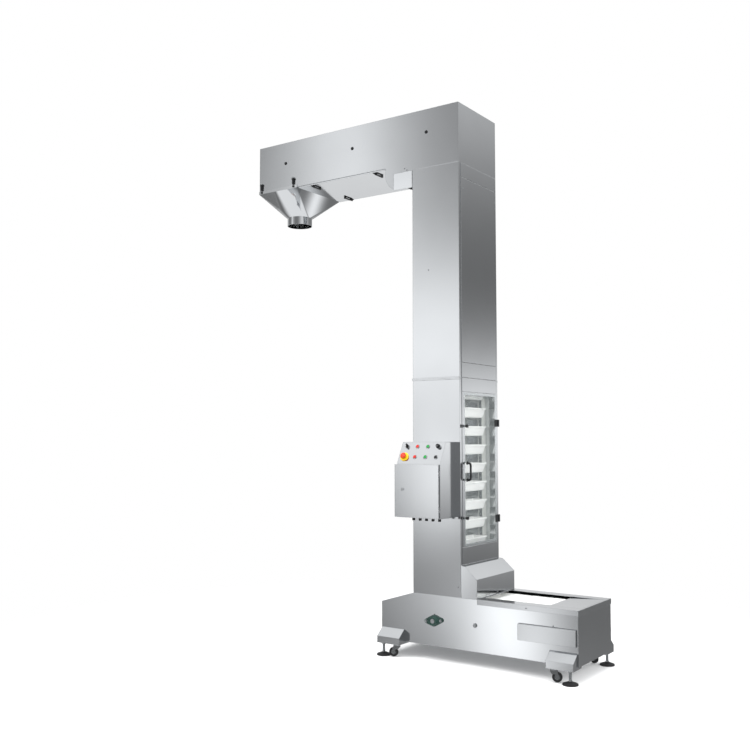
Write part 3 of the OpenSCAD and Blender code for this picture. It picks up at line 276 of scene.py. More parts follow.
NODE_FINISH: dict[Finish, tuple[str, ...]] = {
    SHEET_UP: ("lower_column", "upper_column", "upper_cover", "cover_strips", "window_frame", "control_box",
               "control_door", "base_ends", "head_ends"),
    SHEET_BASE: ("base_sides",),
    SHEET_HOOD: ("feed_hood",),
    SHEET_GUARD: ("corner_guard",),
    SHEET_ALONG: ("base_floor", "infeed_rim", "side_covers", "head_sides", "head_top", "drip_tray",
                  "foot_brackets"),
    POLISHED: ("infeed_slide", "discharge_funnel", "discharge_spout", "panel_controls"),
    ZINC: ("foot_stems", "caster_fork_1", "caster_fork_2", "caster_fork_3", "caster_fork_4", "sprocket_shafts",
           "bearing_bolts", "side_plugs", "box_hinges"),
    CHAIN_STEEL: ("chains",),
    RAIL_PLASTIC: ("guide_rails",),
    BUCKET: ("infeed_buckets", "loop_buckets"),
    CLEAR: ("inspection_door",),
    BLACK: ("door_handle", "door_knob_1", "door_knob_2", "door_hinges", "hinge_seats", "tray_clamps", "cable_glands",
            "mode_selector", "speed_knob", "funnel_latches"),
    RUBBER: ("foot_pads", "caster_wheel_1", "caster_wheel_2", "caster_wheel_3", "caster_wheel_4"),
    GREEN_CAST: ("flange_bearings",),
    DRIVE_PAINT: ("gear_motor",),
    STOP_RED: ("stop_button",),
}


def paint_nodes(nodes: dict[str, bpy.types.Object]) -> None:
    """Give every CAD node its finish.

    Args:
        nodes: The frame's nodes by name.
    """
    for finish, names in NODE_FINISH.items():
        for name in names:
            if name not in nodes:
                continue
            mesh = nodes[name].data
            mesh.materials.clear()
            mesh.materials.append(finish.material())


def arc(x: float, z: float, radius: float, start: float, end: float, steps: int) -> list[tuple[float, float]]:
    """Points of a circular arc in a plane.

    Args:
        x: First coordinate of the centre.
        z: Second coordinate of the centre.
        radius: Radius of the arc.
        start: First angle in degrees.
        end: Last angle in degrees.
        steps: Number of straight steps.

    Returns:
        The points, both ends included.
    """
    angles = (math.radians(start + (end - start) * k / steps) for k in range(steps + 1))
    return [(x + radius * math.cos(a), z + radius * math.sin(a)) for a in angles]


@dataclass
class Shape:
    """Mesh data in construction millimetres, gathered from solids of revolution, prisms and tubes."""

    verts: list[Vector] = field(default_factory=list)
    faces: list[tuple[int, ...]] = field(default_factory=list)

    def _take(self, verts: Iterable[Vec], faces: Iterable[Sequence[int]], place: Matrix) -> None:
        base = len(self.verts)
        self.verts.extend(place @ Vector(v) for v in verts)
        self.faces.extend(tuple(base + i for i in f) for f in faces)

    def lathe(self, profile: Sequence[tuple[float, float]], place: Matrix, steps: int = 32) -> "Shape":
        """Add a solid turned about its own Z axis.

        Args:
            profile: Radius and height pairs from one end to the other.
            place: Where the turned solid goes.
            steps: Number of steps round the axis.

        Returns:
            The shape itself.
        """
        rings = len(profile)
        verts = [(r * math.cos(2 * math.pi * k / steps), r * math.sin(2 * math.pi * k / steps), h)
                 for k in range(steps) for r, h in profile]
        faces = [(k * rings + j, (k + 1) % steps * rings + j, (k + 1) % steps * rings + j + 1, k * rings + j + 1)
                 for k in range(steps) for j in range(rings - 1)]
        faces.append([k * rings for k in reversed(range(steps))])
        faces.append([k * rings + rings - 1 for k in range(steps)])
        self._take(verts, faces, place)
        return self

    def prism(self, outline: Sequence[tuple[float, float]], low: float, high: float, place: Matrix) -> "Shape":
        """Add a prism over an outline in its own XY plane.

        Args:
            outline: Corners of the outline, anticlockwise.
            low: Lower end along its own Z.
            high: Upper end along its own Z.
            place: Where the prism goes.

        Returns:
            The shape itself.
        """
        n = len(outline)
        verts = [(x, y, low) for x, y in outline] + [(x, y, high) for x, y in outline]
        faces = [(k, (k + 1) % n, n + (k + 1) % n, n + k) for k in range(n)]
        faces.append(tuple(reversed(range(n))))
        faces.append(tuple(range(n, 2 * n)))
        self._take(verts, faces, place)
        return self

    def bar(self, lo: Vec, hi: Vec, round_mm: float = 0.0, axis: int = 2) -> "Shape":
        """Add a straight bar between two corners, its long edges rounded.

        Args:
            lo: Lowest corner in construction millimetres.
            hi: Highest corner.
            round_mm: Radius of the four long edges.
            axis: The bar's own axis, 0, 1 or 2.

        Returns:
            The shape itself.
        """
        u, v = ((1, 2), (2, 0), (0, 1))[axis]
        half = ((hi[u] - lo[u]) / 2, (hi[v] - lo[v]) / 2)
        rad = min(round_mm, half[0], half[1])
        if rad > 0:
            outline = [p for sx, sy, a in ((1, 1, 0), (-1, 1, 90), (-1, -1, 180), (1, -1, 270))
                       for p in arc(sx * (half[0] - rad), sy * (half[1] - rad), rad, a, a + 90, 4)]
        else:
            outline = [(half[0], half[1]), (-half[0], half[1]), (-half[0], -half[1]), (half[0], -half[1])]
        columns = [Vector(), Vector(), Vector()]
        columns[0][u], columns[1][v], columns[2][axis] = 1.0, 1.0, 1.0
        turn = Matrix(columns).transposed().to_4x4()
        centre = Vector([(a + b) / 2 for a, b in zip(lo, hi)])
        centre[axis] = 0.0
        return self.prism(outline, lo[axis], hi[axis], Matrix.Translation(centre) @ turn)

    def moved(self, place: Matrix) -> "Shape":
        """Move everything drawn so far.

        Args:
            place: Where the shape goes.

        Returns:
            The shape itself.
        """
        self.verts = [place @ v for v in self.verts]
        return self

    def mesh(self, name: str, local: bool = False, smooth_deg: float = 35.0) -> bpy.types.Mesh:
        """Turn the shape into mesh data.

        Args:
            name: Name of the mesh.
            local: Whether it keeps its own axes, as the unit of a repeat does.
            smooth_deg: Edges under this angle are shaded smooth.

        Returns:
            The mesh in metres.
        """
        mesh = bpy.data.meshes.new(name)
        mesh.from_pydata([v / 1000 if local else row(*v) for v in self.verts], [], self.faces)
        work = bmesh.new()
        work.from_mesh(mesh)
        bmesh.ops.recalc_face_normals(work, faces=work.faces)
        work.to_mesh(mesh)
        work.free()
        mesh.shade_smooth()
        mesh.set_sharp_from_angle(angle=math.radians(smooth_deg))
        return mesh

    def piece(self, name: str, finish: Finish, slot: str, body: str = ROOT, smooth_deg: float = 35.0,
              stands_for: Sequence[str] = ()) -> bpy.types.Object:
        """Turn the shape into a finished piece of the row frame.

        Args:
            name: Name of the piece.
            finish: Its finish.
            slot: Not used.
            body: The CAD body it rides.
            smooth_deg: Edges under this angle are shaded smooth.
            stands_for: CAD nodes that the piece replaces.

        Returns:
            The new object.
        """
        return finish_piece(name, self.mesh(name, smooth_deg=smooth_deg), finish, body, stands_for)


def finish_piece(name: str, mesh: bpy.types.Mesh, finish: Finish, body: str,
                 stands_for: Sequence[str] = ()) -> bpy.types.Object:
    """Link a finished mesh as a piece that rides a CAD body.

    Args:
        name: Name of the piece.
        mesh: Its mesh in the row frame.
        finish: Its finish.
        body: The CAD body it rides.
        stands_for: CAD nodes that the piece replaces.

    Returns:
        The new object.
    """
    mesh.materials.clear()
    mesh.materials.append(finish.material())
    obj = bpy.data.objects.new(name, mesh)
    bpy.context.scene.collection.objects.link(obj)
    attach(obj, body)
    if stands_for:
        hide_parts(*stands_for)
    return obj


def facing(x: float, y: float, z: float, normal: Vec, spin_deg: float = 0.0) -> Matrix:
    """Matrix that stands something on a surface point with its own Z along the normal.

    Args:
        x: Construction millimetres along the beam.
        y: Construction millimetres from front to back.
        z: Height in millimetres.
        normal: Outward direction.
        spin_deg: Turn about the normal.

    Returns:
        The matrix in construction millimetres.
    """
    turn = Vector(normal).to_track_quat("Z", "Y").to_matrix().to_4x4()
    return Matrix.Translation((x, y, z)) @ turn @ Matrix.Rotation(math.radians(spin_deg), 4, "Z")


@dataclass
class Repeat:
    """Copies of one unit, set out by Geometry Nodes on points that carry their direction."""

    name: str
    unit: Shape
    finish: Finish
    slot: str
    body: str = ROOT
    spin_spread: float = 0.0
    seed: int = 7
    places: list[Matrix] = field(default_factory=list)

    def at(self, x: float, y: float, z: float, normal: Vec, spin_deg: float = 0.0) -> "Repeat":
        """Add one copy that stands on a surface point.

        Args:
            x: Construction millimetres along the beam.
            y: Construction millimetres from front to back.
            z: Height in millimetres.
            normal: Outward direction, the unit's own Z.
            spin_deg: Turn about the normal.

        Returns:
            The repeat itself.
        """
        self.places.append(facing(x, y, z, normal, spin_deg))
        return self

    def _tree(self) -> tuple[bpy.types.NodeTree, dict[str, str]]:
        tree = bpy.data.node_groups.new(self.name, "GeometryNodeTree")
        face = tree.interface
        keys = {label: face.new_socket(label, in_out="INPUT", socket_type=kind).identifier
                for label, kind in (("Places", "NodeSocketGeometry"), ("Unit", "NodeSocketObject"),
                                    ("Spin spread", "NodeSocketFloat"), ("Seed", "NodeSocketInt"))}
        face.new_socket("Pieces", in_out="OUTPUT", socket_type="NodeSocketGeometry")
        source = tree.nodes.new("NodeGroupInput").outputs
        unit = add_node(tree, "GeometryNodeObjectInfo", Object=source["Unit"])
        turn = tree.nodes.new("GeometryNodeInputNamedAttribute")
        turn.data_type = "FLOAT_VECTOR"
        turn.inputs["Name"].default_value = "turn"
        angle = add_node(tree, "FunctionNodeEulerToRotation", Euler=turn.outputs["Attribute"])
        spots = add_node(tree, "GeometryNodeInstanceOnPoints", Points=source["Places"],
                         Instance=unit.outputs["Geometry"], Rotation=angle.outputs[0])
        chance = tree.nodes.new("FunctionNodeRandomValue")
        chance.data_type = "FLOAT"
        floats = [socket for socket in chance.inputs if socket.name in ("Min", "Max") and socket.type == "VALUE"]
        floats[0].default_value = 0.0
        tree.links.new(source["Spin spread"], floats[1])
        tree.links.new(source["Seed"], chance.inputs["Seed"])
        result = [socket for socket in chance.outputs if socket.type == "VALUE"][0]
        about = add_node(tree, "ShaderNodeCombineXYZ", Z=result)
        spin = add_node(tree, "FunctionNodeEulerToRotation", Euler=about.outputs[0])
        turned = add_node(tree, "GeometryNodeRotateInstances", Instances=spots.outputs[0], Rotation=spin.outputs[0])
        turned.inputs["Local Space"].default_value = True
        real = add_node(tree, "GeometryNodeRealizeInstances", Geometry=turned.outputs[0])
        painted = add_node(tree, "GeometryNodeSetMaterial", Geometry=real.outputs[0], Material=self.finish.material())
        tree.links.new(painted.outputs[0], tree.nodes.new("NodeGroupOutput").inputs[0])
        return tree, keys

    def build(self, stands_for: Sequence[str] = ()) -> bpy.types.Object:
        """Realize the copies as one plain piece.

        Args:
            stands_for: CAD nodes that the piece replaces.

        Returns:
            The new object.
        """
        unit = bpy.data.objects.new(self.name + "-unit", self.unit.mesh(self.name + "-unit", local=True))
        points = bpy.data.meshes.new(self.name + "-points")
        points.from_pydata([row(*m.translation) for m in self.places], [], [])
        turns = points.attributes.new("turn", "FLOAT_VECTOR", "POINT")
        for k, place in enumerate(self.places):
            turns.data[k].vector = place.to_euler()
        carrier = bpy.data.objects.new(self.name + "-carrier", points)
        bpy.context.scene.collection.objects.link(carrier)
        tree, keys = self._tree()
        modifier = carrier.modifiers.new("Field", "NODES")
        modifier.node_group = tree
        modifier[keys["Unit"]] = unit
        modifier[keys["Spin spread"]] = self.spin_spread
        modifier[keys["Seed"]] = self.seed
        graph = bpy.context.evaluated_depsgraph_get()
        mesh = bpy.data.meshes.new_from_object(carrier.evaluated_get(graph), depsgraph=graph)
        bpy.data.objects.remove(carrier)
        bpy.data.objects.remove(unit)
        mesh.name = self.name
        return finish_piece(self.name, mesh, self.finish, self.body, stands_for)


def hex_screw(head: float, height: float) -> Shape:
    """A hexagon screw head with a chamfered top on its washer.

    Args:
        head: Width over the corners in millimetres.
        height: Height of the head in millimetres.

    Returns:
        The unit shape.
    """
    r = head / 2
    flat = Matrix.Identity(4)
    unit = Shape().lathe([(r * 1.25, 0.0), (r * 1.25, 1.0), (r * 1.1, 1.3), (r * 0.9, 1.3)], flat, 24)
    unit.lathe([(r, 1.0), (r, height - 0.7), (r * 0.86, height), (0.2, height)], flat, 6)
    return unit


def round_screw(head: float, height: float) -> Shape:
    """A button head screw with a socket.

    Args:
        head: Diameter of the head in millimetres.
        height: Height of the head in millimetres.

    Returns:
        The unit shape.
    """
    r = head / 2
    return Shape().lathe([(r, 0.0), (r, height * 0.4), (r * 0.85, height * 0.85), (r * 0.5, height),
                          (r * 0.36, height), (r * 0.36, height * 0.45), (0.1, height * 0.45)], Matrix.Identity(4), 20)


@dataclass
class SheetFixings:
    """Screws that hold the sheets, where the photo shows them."""

    front: Vec = (0.0, -1.0, 0.0)
    back: Vec = (0.0, 1.0, 0.0)
    infeed: Vec = (1.0, 0.0, 0.0)
    latch_xs: tuple[float, float] = (-1775.0, -1452.0)
    latch_y: float = -11.0
    latch_top: float = 3466.5

    def build(self) -> None:
        """Add the screws and the latch knobs."""
        small = Repeat("panel_screws", round_screw(9.0, 3.2), ZINC, "polished_steel", spin_spread=6.0)
        for y, normal in ((0.0, self.front), (DEPTH, self.back)):
            for x, z in ((-240.0, 2629.0), (-20.0, 505.0), (646.0, 329.0), (-435.0, 3370.0), (-415.0, 3356.0)):
                small.at(x, y, z, normal)
        small.at(466.0, -3.0, 418.0, self.front).at(466.0, DEPTH + 3.0, 418.0, self.back)
        for x, y, z in ((3.0, 53.0, 3174.0), (0.0, 520.7, 3169.0), (119.0, 129.0, 452.0), (119.0, 280.0, 452.0)):
            small.at(x, y, z, self.infeed)
        small.build()
        plugs = Repeat("beam_bolts", hex_screw(20.0, 7.0), BLACK, "black_plastic", spin_spread=6.0)
        for x in (-1532.0, -893.0, -255.0):
            plugs.at(x, 0.0, 3598.0, self.front).at(x, DEPTH, 3598.0, self.back)
        plugs.build()
        knobs = Repeat("latch_knobs", Shape().lathe([(0.2, -1.0), (6.5, -1.0), (8.0, 1.0), (8.0, 7.0), (6.5, 9.5),
                                                     (0.2, 10.0)], Matrix.Identity(4), 24), ZINC, "black_plastic")
        for x in self.latch_xs:
            for y in (self.latch_y, DEPTH - self.latch_y):
                knobs.at(x, y, self.latch_top, (0.0, 0.0, 1.0))
        knobs.build()


@dataclass
class SquareToRound:
    """The bent sheet funnel from the beam's mouth to the round spout, its wall whole at every corner."""

    corner: tuple[float, float] = (193.0, 269.0)
    centre: tuple[float, float] = (-1610.0, 266.0)
    spout_r: float = 98.0
    spout_z: float = 3225.0
    skirt: tuple[float, float] = (3393.0, 3415.0)
    wall: float = 3.0
    steps: int = 96

    def _levels(self, inset: float) -> list[Vec]:
        """One skin: the round end, then the two ends of the skirt."""
        radius = self.spout_r - inset
        ring = [(radius * math.cos(a), radius * math.sin(a), self.spout_z)
                for a in (2 * math.pi * k / self.steps for k in range(self.steps))]
        half_x, half_y = self.corner[0] - inset, self.corner[1] - inset
        return ring + [(sx * half_x, sy * half_y, z) for z in self.skirt
                       for sx, sy in ((1, 1), (-1, 1), (-1, -1), (1, -1))]

    def _skin(self, base: int) -> list[tuple[int, ...]]:
        """Four cones, four flat sides and the skirt of one skin."""
        n = self.steps
        low, high = base + n, base + n + 4
        faces: list[tuple[int, ...]] = []
        for q in range(4):
            start = q * n // 4
            faces += [(base + k % n, base + (k + 1) % n, low + q) for k in range(start, start + n // 4)]
            after = (q + 1) % 4
            faces.append((base + (start + n // 4) % n, low + after, low + q))
            faces.append((low + q, low + after, high + after, high + q))
        return faces

    def build(self) -> None:
        """Add the funnel in place of its plain solid."""
        outer, inner = self._levels(0.0), self._levels(self.wall)
        n, size = self.steps, len(outer)
        faces = self._skin(0) + self._skin(size)
        faces += [(k, (k + 1) % n, size + (k + 1) % n, size + k) for k in range(n)]
        faces += [(size - 4 + q, size - 4 + (q + 1) % 4, 2 * size - 4 + (q + 1) % 4, 2 * size - 4 + q) for q in range(4)]
        shape = Shape()
        shape.verts = [Vector((self.centre[0] + x, self.centre[1] + y, z)) for x, y, z in outer + inner]
        shape.faces = faces
        shape.piece("funnel_sheet", POLISHED, "polished_steel", stands_for=("discharge_funnel",))


@dataclass
class BucketChain:
    """Two strands of roller chain on the elevator's loop, link by link."""

    pitch: float = 31.75
    big_r: float = 111.548
    small_r: float = 86.3948
    bend_r: float = 200.0
    tail: tuple[float, float] = (588.087, 292.154)
    foot: tuple[float, float] = (-208.0, 267.0)
    head: tuple[float, float] = (-1610.0, 3581.548)
    rise_x: float = -111.0
    fall_x: float = -294.395
    first: float = 107.4
    count: int = 360
    strand_y: float = 42.0

    def _stretches(self) -> list[tuple[float, tuple[float, float], float, float]]:
        """Length, start or centre, angle and radius of each stretch; radius 0 is a straight one."""
        low_z = self.foot[1] - self.small_r
        high_z = low_z + 2 * self.big_r
        top_z = self.head[1] + self.big_r
        run_z = self.head[1] - self.big_r
        quarter = math.pi / 2
        corner = (self.rise_x - self.small_r, top_z - self.small_r)
        return [
            (self.tail[0] - self.rise_x - self.bend_r, (self.tail[0], high_z), 180.0, 0.0),
            (self.bend_r * quarter, (self.rise_x + self.bend_r, high_z + self.bend_r), 270.0, -self.bend_r),
            (corner[1] - high_z - self.bend_r, (self.rise_x, high_z + self.bend_r), 90.0, 0.0),
            (self.small_r * quarter, corner, 0.0, self.small_r),
            (corner[0] - self.head[0], (corner[0], top_z), 180.0, 0.0),
            (2 * self.big_r * quarter, self.head, 90.0, self.big_r),
            (self.fall_x - self.bend_r - self.head[0], (self.head[0], run_z), 0.0, 0.0),
            (self.bend_r * quarter, (self.fall_x - self.bend_r, run_z - self.bend_r), 90.0, -self.bend_r),
            (run_z - self.bend_r - self.foot[1], (self.fall_x, run_z - self.bend_r), 270.0, 0.0),
            (self.small_r * quarter, self.foot, 180.0, self.small_r),
            (self.tail[0] - self.foot[0], (self.foot[0], low_z), 0.0, 0.0),
            (2 * self.big_r * quarter, self.tail, 270.0, self.big_r)]

    def joint(self, index: int) -> tuple[float, float]:
        """Position of one chain joint.

        Args:
            index: Number of the joint from the first bucket's pin.

        Returns:
            Its X and Z in construction millimetres.
        """
        parts = self._stretches()
        station = (self.first + index * self.pitch) % sum(part[0] for part in parts)
        for length, (x, z), angle, radius in parts:
            if station <= length:
                break
            station -= length
        if not radius:
            turn = math.radians(angle)
            return x + station * math.cos(turn), z + station * math.sin(turn)
        turn = math.radians(angle) + station / radius
        return x + abs(radius) * math.cos(turn), z + abs(radius) * math.sin(turn)

    def build(self) -> None:
        """Add the links, the rollers and the bucket pins in place of the plain bands."""
        half = self.pitch / 2
        outline = arc(half, 0.0, 10.5, -118.0, 118.0, 6) + arc(-half, 0.0, 10.5, 62.0, 298.0, 6)
        plates = Repeat("chain_plates", Shape().prism(outline, -1.0, 1.0, Matrix.Identity(4)), CHAIN_STEEL, "chain_steel")
        rollers = Repeat("chain_rollers", Shape().lathe([(9.2, -3.6), (9.2, 3.6)], Matrix.Identity(4), 12)
                         .lathe([(4.5, -8.4), (4.5, 8.4)], Matrix.Identity(4), 8), ZINC, "chain_steel")
        pins = Repeat("bucket_pins", Shape().lathe([(5.2, -17.0), (6.0, -16.2), (6.0, 14.9), (5.2, 15.1)],
                                                   Matrix.Identity(4), 16), ZINC, "chain_steel")
        spots = [self.joint(k) for k in range(self.count + 1)]
        for side in (False, True):
            def across(y: float) -> float:
                return DEPTH - y if side else y
            for k, (x, z) in enumerate(spots[:-1]):
                nx, nz = spots[k + 1]
                lean = math.degrees(math.atan2(nz - z, nx - x))
                inset = 1.2 if k % 2 else 3.6
                for y in (self.strand_y + inset, self.strand_y + 16.0 - inset):
                    plates.places.append(Matrix.Translation(((x + nx) / 2, across(y), (z + nz) / 2))
                                         @ Matrix.Rotation(math.radians(-lean), 4, "Y")
                                         @ Matrix.Rotation(math.radians(90.0), 4, "X"))
                rollers.at(x, across(self.strand_y + 8.0), z, (0.0, 1.0, 0.0))
                if k % 4 == 0:
                    pins.at(x, across(self.strand_y + 16.0), z, (0.0, -1.0 if side else 1.0, 0.0))
        plates.build(stands_for=("chains",))
        rollers.build()
        pins.build()


@dataclass
class ControlPanel:
    """Coloured caps, ring and marks of the sloped control panel."""

    x0: float = -326.5
    gap: float = 81.0
    top: float = 127.8
    low: float = 50.8
    tilt_deg: float = 62.18
    edge: tuple[float, float] = (-196.0, 1310.0)

    def on(self, column: int, v: float) -> Matrix:
        """Place on the panel.

        Args:
            column: Number of the control from the left.
            v: Distance up the panel in millimetres.

        Returns:
            Matrix with its own Z out of the panel.
        """
        turn = math.radians(self.tilt_deg)
        return (Matrix.Translation((self.x0 + column * self.gap, self.edge[0] + v * math.cos(turn),
                                    self.edge[1] + v * math.sin(turn))) @ Matrix.Rotation(turn, 4, "X"))

    def build(self) -> None:
        """Add the caps, the ring and the marks."""
        cap = [(10.8, 3.1), (10.8, 6.7), (9.9, 7.8), (7.5, 8.2), (0.2, 8.2)]
        for name, finish, column, v in (
                ("cap_start", KEY_RED, 1, self.top), ("cap_run", KEY_GREEN, 2, self.top),
                ("cap_low_1", KEY_RED, 1, self.low), ("cap_low_2", KEY_GREEN, 2, self.low),
                ("cap_low_3", KEY_BLACK, 3, self.low)):
            Shape().lathe(cap, self.on(column, v), 32).piece(name, finish, "red_button")
        ring = [(14.0, 5.05), (14.0, 5.8), (29.0, 5.8), (30.2, 5.0), (30.2, 0.4)]
        Shape().lathe(ring[2:] + [(12.5, 0.4), (12.5, 5.05)] + ring[1:2], self.on(0, self.low), 48).piece(
            "stop_ring", YELLOW, "red_button")
        Shape().bar((-1.0, -11.5, 22.1), (1.0, 0.0, 22.5)).moved(self.on(0, self.top)).piece(
            "selector_mark", WHITE_MARK, "white_bucket_plastic", "mode_selector")
        Shape().bar((-0.8, -9.5, 22.35), (0.8, -2.0, 22.7)).moved(self.on(3, self.top)).piece(
            "speed_mark", WHITE_MARK, "white_bucket_plastic", "speed_knob")


@dataclass
class FootGear:
    """Threads of the levelling feet and the hubs of the casters."""

    foot_xs: tuple[float, float] = (-591.0, 768.0)
    foot_ys: tuple[float, float] = (-33.0, 565.0)
    casters: tuple[tuple[float, float, float], ...] = (
        (-483.0, -33.0, 200.0), (660.0, -33.0, 20.0), (660.0, 565.0, -15.0), (-483.0, 565.0, 165.0))
    trail: float = 22.0
    axle_z: float = 34.5

    def build(self) -> None:
        """Add threads and hubs."""
        profile = [(8.05, 32.0)]
        for k in range(21):
            profile += [(8.05, 32.2 + 2.0 * k), (8.8, 33.0 + 2.0 * k), (8.8, 33.4 + 2.0 * k)]
        thread = Repeat("foot_threads", Shape().lathe(profile, Matrix.Identity(4), 20), ZINC, "polished_steel")
        for x in self.foot_xs:
            for y in self.foot_ys:
                thread.at(x, y, 0.0, (0.0, 0.0, 1.0))
        thread.build()
        for k, (x, y, turn_deg) in enumerate(self.casters, 1):
            turn = math.radians(turn_deg)
            hub = Shape()
            for side in (-1.0, 1.0):
                place = facing(x + self.trail * math.cos(turn), y + self.trail * math.sin(turn), self.axle_z,
                               (-side * math.sin(turn), side * math.cos(turn), 0.0))
                hub.lathe([(17.3, 7.6), (17.3, 8.6), (16.2, 9.4), (13.6, 9.0), (13.2, 8.2), (13.2, 7.6)], place, 32)
            hub.piece("caster_hub_%d" % k, HUB, "wheel_tyre", "wheel_%d" % k)


@dataclass
class DriveTrim:
    """Bolts of the gear housing and slots of the fan cover on the hidden drive side."""

    axis: tuple[float, float] = (-1610.0, 3581.55)
    face_y: float = 627.0

    def build(self) -> None:
        """Add the bolts and the fan grille."""
        bolts = Repeat("gear_bolts", hex_screw(13.0, 6.5), ZINC, "polished_steel", spin_spread=6.0)
        for sx in (-1.0, 1.0):
            for sz in (-1.0, 1.0):
                bolts.at(self.axis[0] + 53.0 * sx, self.face_y, self.axis[1] + 53.0 * sz, (0.0, 1.0, 0.0))
                bolts.at(self.axis[0] + 77.0 + 26.0 * sx, 587.0 + 20.0 * sx, self.axis[1] + 78.0, (0.0, 0.0, 1.0))
        bolts.build()
        grille = Repeat("fan_grille", Shape().bar((-1.6, -14.0, 0.0), (1.6, 14.0, 1.2), 1.5), BLACK, "black_plastic")
        end_x = self.axis[0] + 65.0 + 240.0
        for k in range(12):
            turn = math.radians(30.0 * k)
            grille.at(end_x, 587.0 + 30.0 * math.cos(turn), self.axis[1] + 30.0 * math.sin(turn), (1.0, 0.0, 0.0),
                      30.0 * k)
        grille.build()


@dataclass(frozen=True)
class Panel:
    """One soft light panel of the studio, as a lobe over the directions that the steel mirrors.

    Azimuth is measured from the front towards the discharge end, elevation from the horizon, both in degrees.
    """

    azimuth: float
    elevation: float
    width: float
    height: float
    strength: float

    def glow(self, tree: bpy.types.NodeTree, azimuth: bpy.types.NodeSocket,
             elevation: bpy.types.NodeSocket) -> bpy.types.NodeSocket:
        """Add the panel's nodes.

        Args:
            tree: The world's node tree.
            azimuth: Socket with the direction's azimuth.
            elevation: Socket with the direction's elevation.

        Returns:
            Socket with the panel's light in that direction.
        """
        offset = math_node(tree, "WRAP", math_node(tree, "SUBTRACT", azimuth, self.azimuth), 180.0, -180.0)
        across = math_node(tree, "POWER", math_node(tree, "ABSOLUTE", math_node(tree, "DIVIDE", offset, self.width)), 2.0)
        height = math_node(tree, "DIVIDE", math_node(tree, "SUBTRACT", elevation, self.elevation), self.height)
        upward = math_node(tree, "POWER", math_node(tree, "ABSOLUTE", height), 2.0)
        fall = math_node(tree, "EXPONENT", math_node(tree, "MULTIPLY", math_node(tree, "ADD", across, upward), -1.0))
        return math_node(tree, "MULTIPLY", fall, self.strength)


PANELS = (
    Panel(31.0, 2.0, 26.0, 26.0, 0.12),
    Panel(31.0, 5.4, 15.0, 7.0, 1.12),
    Panel(37.0, 18.0, 3.6, 8.0, 0.95),
    Panel(28.2, -21.0, 2.6, 6.0, 1.9),
    Panel(32.0, -17.0, 4.0, 3.4, 0.7),
    Panel(25.3, -12.8, 1.6, 1.7, 1.5),
    Panel(25.5, -9.2, 3.0, 1.6, 1.3),
    Panel(47.5, 44.0, 12.0, 10.0, 0.4),
    Panel(31.0, -3.0, 1.3, 3.4, 2.0),
    Panel(-151.0, 0.5, 30.0, 4.5, 1.1),
    Panel(-151.0, 22.0, 30.0, 6.5, 0.3),
    Panel(145.0, -18.0, 26.0, 10.0, 0.8),
    Panel(-145.0, -24.0, 16.0, 7.0, 1.0),
    Panel(150.0, 12.0, 16.0, 8.0, 0.75),
    Panel(-167.0, 30.0, 12.0, 9.0, 0.9),
    Panel(112.0, 6.0, 22.0, 14.0, 0.7),
    Panel(-62.0, 6.0, 26.0, 16.0, 0.8),
    Panel(-110.0, 30.0, 18.0, 24.0, 0.5),
)


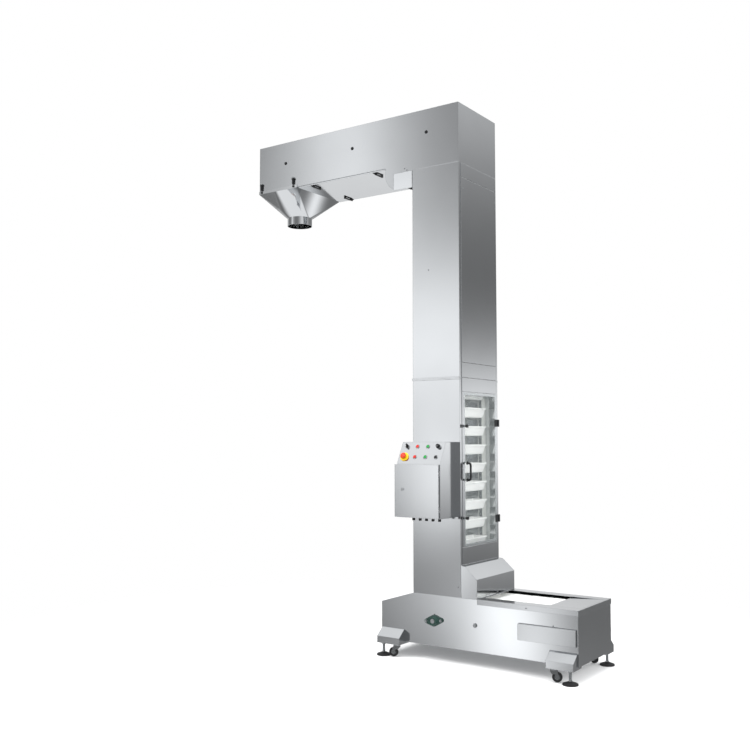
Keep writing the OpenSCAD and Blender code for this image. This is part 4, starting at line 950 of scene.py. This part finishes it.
@dataclass
class Studio:
    """Camera, floor, backdrop and lights."""

    camera_at: Vector = field(default_factory=lambda: row(3055.8, -5322.5, 1477.3))
    pitch_deg: float = 93.94
    turn_deg: float = 35.13
    lens_mm: float = 44.22

    def build(self) -> None:
        """Set the whole stage up."""
        self._camera()
        self._floor()
        self._world()
        self._lights()
        view = bpy.context.scene.view_settings
        view.view_transform = "Standard"

    def _camera(self) -> None:
        data = bpy.data.cameras.new("Camera")
        data.lens = self.lens_mm
        data.sensor_width = 36.0
        camera = bpy.data.objects.new("Camera", data)
        camera.location = self.camera_at
        camera.rotation_euler = Euler((math.radians(self.pitch_deg), 0.0, math.radians(self.turn_deg)))
        bpy.context.scene.collection.objects.link(camera)
        bpy.context.scene.camera = camera

    def _floor(self) -> None:
        """A white floor that fades into the white backdrop and keeps the shadow."""
        mesh = bpy.data.meshes.new("Floor")
        size = 9.0
        mesh.from_pydata([(-size, -size, 0), (size, -size, 0), (size, size, 0), (-size, size, 0)], [], [(0, 1, 2, 3)])
        floor = bpy.data.objects.new("Floor", mesh)
        mat = bpy.data.materials.new("Studio floor, white paper")
        mat.use_nodes = True
        tree = mat.node_tree
        shader = tree.nodes["Principled BSDF"]
        shader.inputs["Base Color"].default_value = (0.92, 0.92, 0.92, 1)
        shader.inputs["Roughness"].default_value = 0.95
        shader.inputs["Specular IOR Level"].default_value = 0.1
        coords = add_node(tree, "ShaderNodeTexCoord").outputs["Object"]
        reach = tree.nodes.new("ShaderNodeVectorMath")
        reach.operation = "LENGTH"
        tree.links.new(coords, reach.inputs[0])
        fade = add_node(tree, "ShaderNodeMapRange", Value=reach.outputs["Value"])
        fade.interpolation_type = "SMOOTHSTEP"
        fade.inputs["From Min"].default_value = 1.2
        fade.inputs["From Max"].default_value = 3.4
        clear = tree.nodes.new("ShaderNodeBsdfTransparent")
        mix = tree.nodes.new("ShaderNodeMixShader")
        tree.links.new(fade.outputs[0], mix.inputs[0])
        tree.links.new(shader.outputs[0], mix.inputs[1])
        tree.links.new(clear.outputs[0], mix.inputs[2])
        tree.links.new(mix.outputs[0], tree.nodes["Material Output"].inputs["Surface"])
        mesh.materials.append(mat)
        bpy.context.scene.collection.objects.link(floor)
        floor.visible_glossy = False

    def _world(self) -> None:
        """Soft panels for the steel to mirror, and plain white for the camera."""
        world = bpy.data.worlds.new("Studio")
        world.use_nodes = True
        tree = world.node_tree
        background = tree.nodes["Background"]
        parts = add_node(tree, "ShaderNodeSeparateXYZ", Vector=add_node(tree, "ShaderNodeTexCoord").outputs["Generated"])
        flip = [math_node(tree, "MULTIPLY", parts.outputs[axis], -1.0) for axis in ("X", "Y")]
        azimuth = math_node(tree, "DEGREES", math_node(tree, "ARCTAN2", flip[0], flip[1]))
        elevation = math_node(tree, "DEGREES", math_node(tree, "ARCSINE", parts.outputs["Z"]))
        ramp = add_node(tree, "ShaderNodeMapRange", Value=elevation)
        ramp.interpolation_type = "SMOOTHSTEP"
        for socket, value in (("From Min", 8.0), ("From Max", 62.0), ("To Min", 0.18), ("To Max", 1.05)):
            ramp.inputs[socket].default_value = value
        below = add_node(tree, "ShaderNodeMapRange", Value=elevation)
        below.interpolation_type = "SMOOTHSTEP"
        for socket, value in (("From Min", -50.0), ("From Max", -28.0), ("To Min", 0.85), ("To Max", 0.0)):
            below.inputs[socket].default_value = value
        light = math_node(tree, "ADD", ramp.outputs[0], below.outputs[0])
        for panel in PANELS:
            light = math_node(tree, "ADD", light, panel.glow(tree, azimuth, elevation))
        rays = add_node(tree, "ShaderNodeLightPath")
        tinted = add_node(tree, "ShaderNodeMixRGB", Fac=1.0, Color1=light, Color2=(0.985, 0.992, 1.0, 1.0))
        tinted.blend_type = "MULTIPLY"
        white = add_node(tree, "ShaderNodeMixRGB", Fac=rays.outputs["Is Camera Ray"], Color1=tinted.outputs[0],
                         Color2=(1.0, 1.0, 1.0, 1.0))
        tree.links.new(white.outputs[0], background.inputs["Color"])
        bpy.context.scene.world = world

    def _lights(self) -> None:
        """Lamps for paint, plastic and the floor's shadow; the steel mirrors the panels instead."""
        for name, place, size, power in (
                ("Key", (-2.6, -4.2, 5.2), (3.0, 3.0), 260.0),
                ("Front", (3.2, -6.0, 3.0), (4.0, 3.0), 150.0),
                ("Top", (0.0, 0.0, 7.0), (6.0, 6.0), 330.0),
                ("Side", (5.2, -1.6, 2.4), (2.0, 2.5), 170.0)):
            data = bpy.data.lights.new(name, "AREA")
            data.shape = "RECTANGLE"
            data.size, data.size_y = size
            data.energy = power
            light = bpy.data.objects.new(name, data)
            light.location = place
            light.visible_glossy = False
            aim = Vector((0.0, 0.0, 1.2)) - Vector(place)
            light.rotation_euler = aim.to_track_quat("-Z", "Y").to_euler()
            bpy.context.scene.collection.objects.link(light)


def main() -> None:
    """Build the look."""
    logging.basicConfig(level=logging.INFO, format="%(name)s: %(message)s")
    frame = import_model()
    paint_nodes(frame["nodes"])
    for part in (SheetFixings(), SquareToRound(), BucketChain(), ControlPanel(), FootGear(), DriveTrim(), Studio()):
        part.build()


if __name__ == "__main__":
    main()
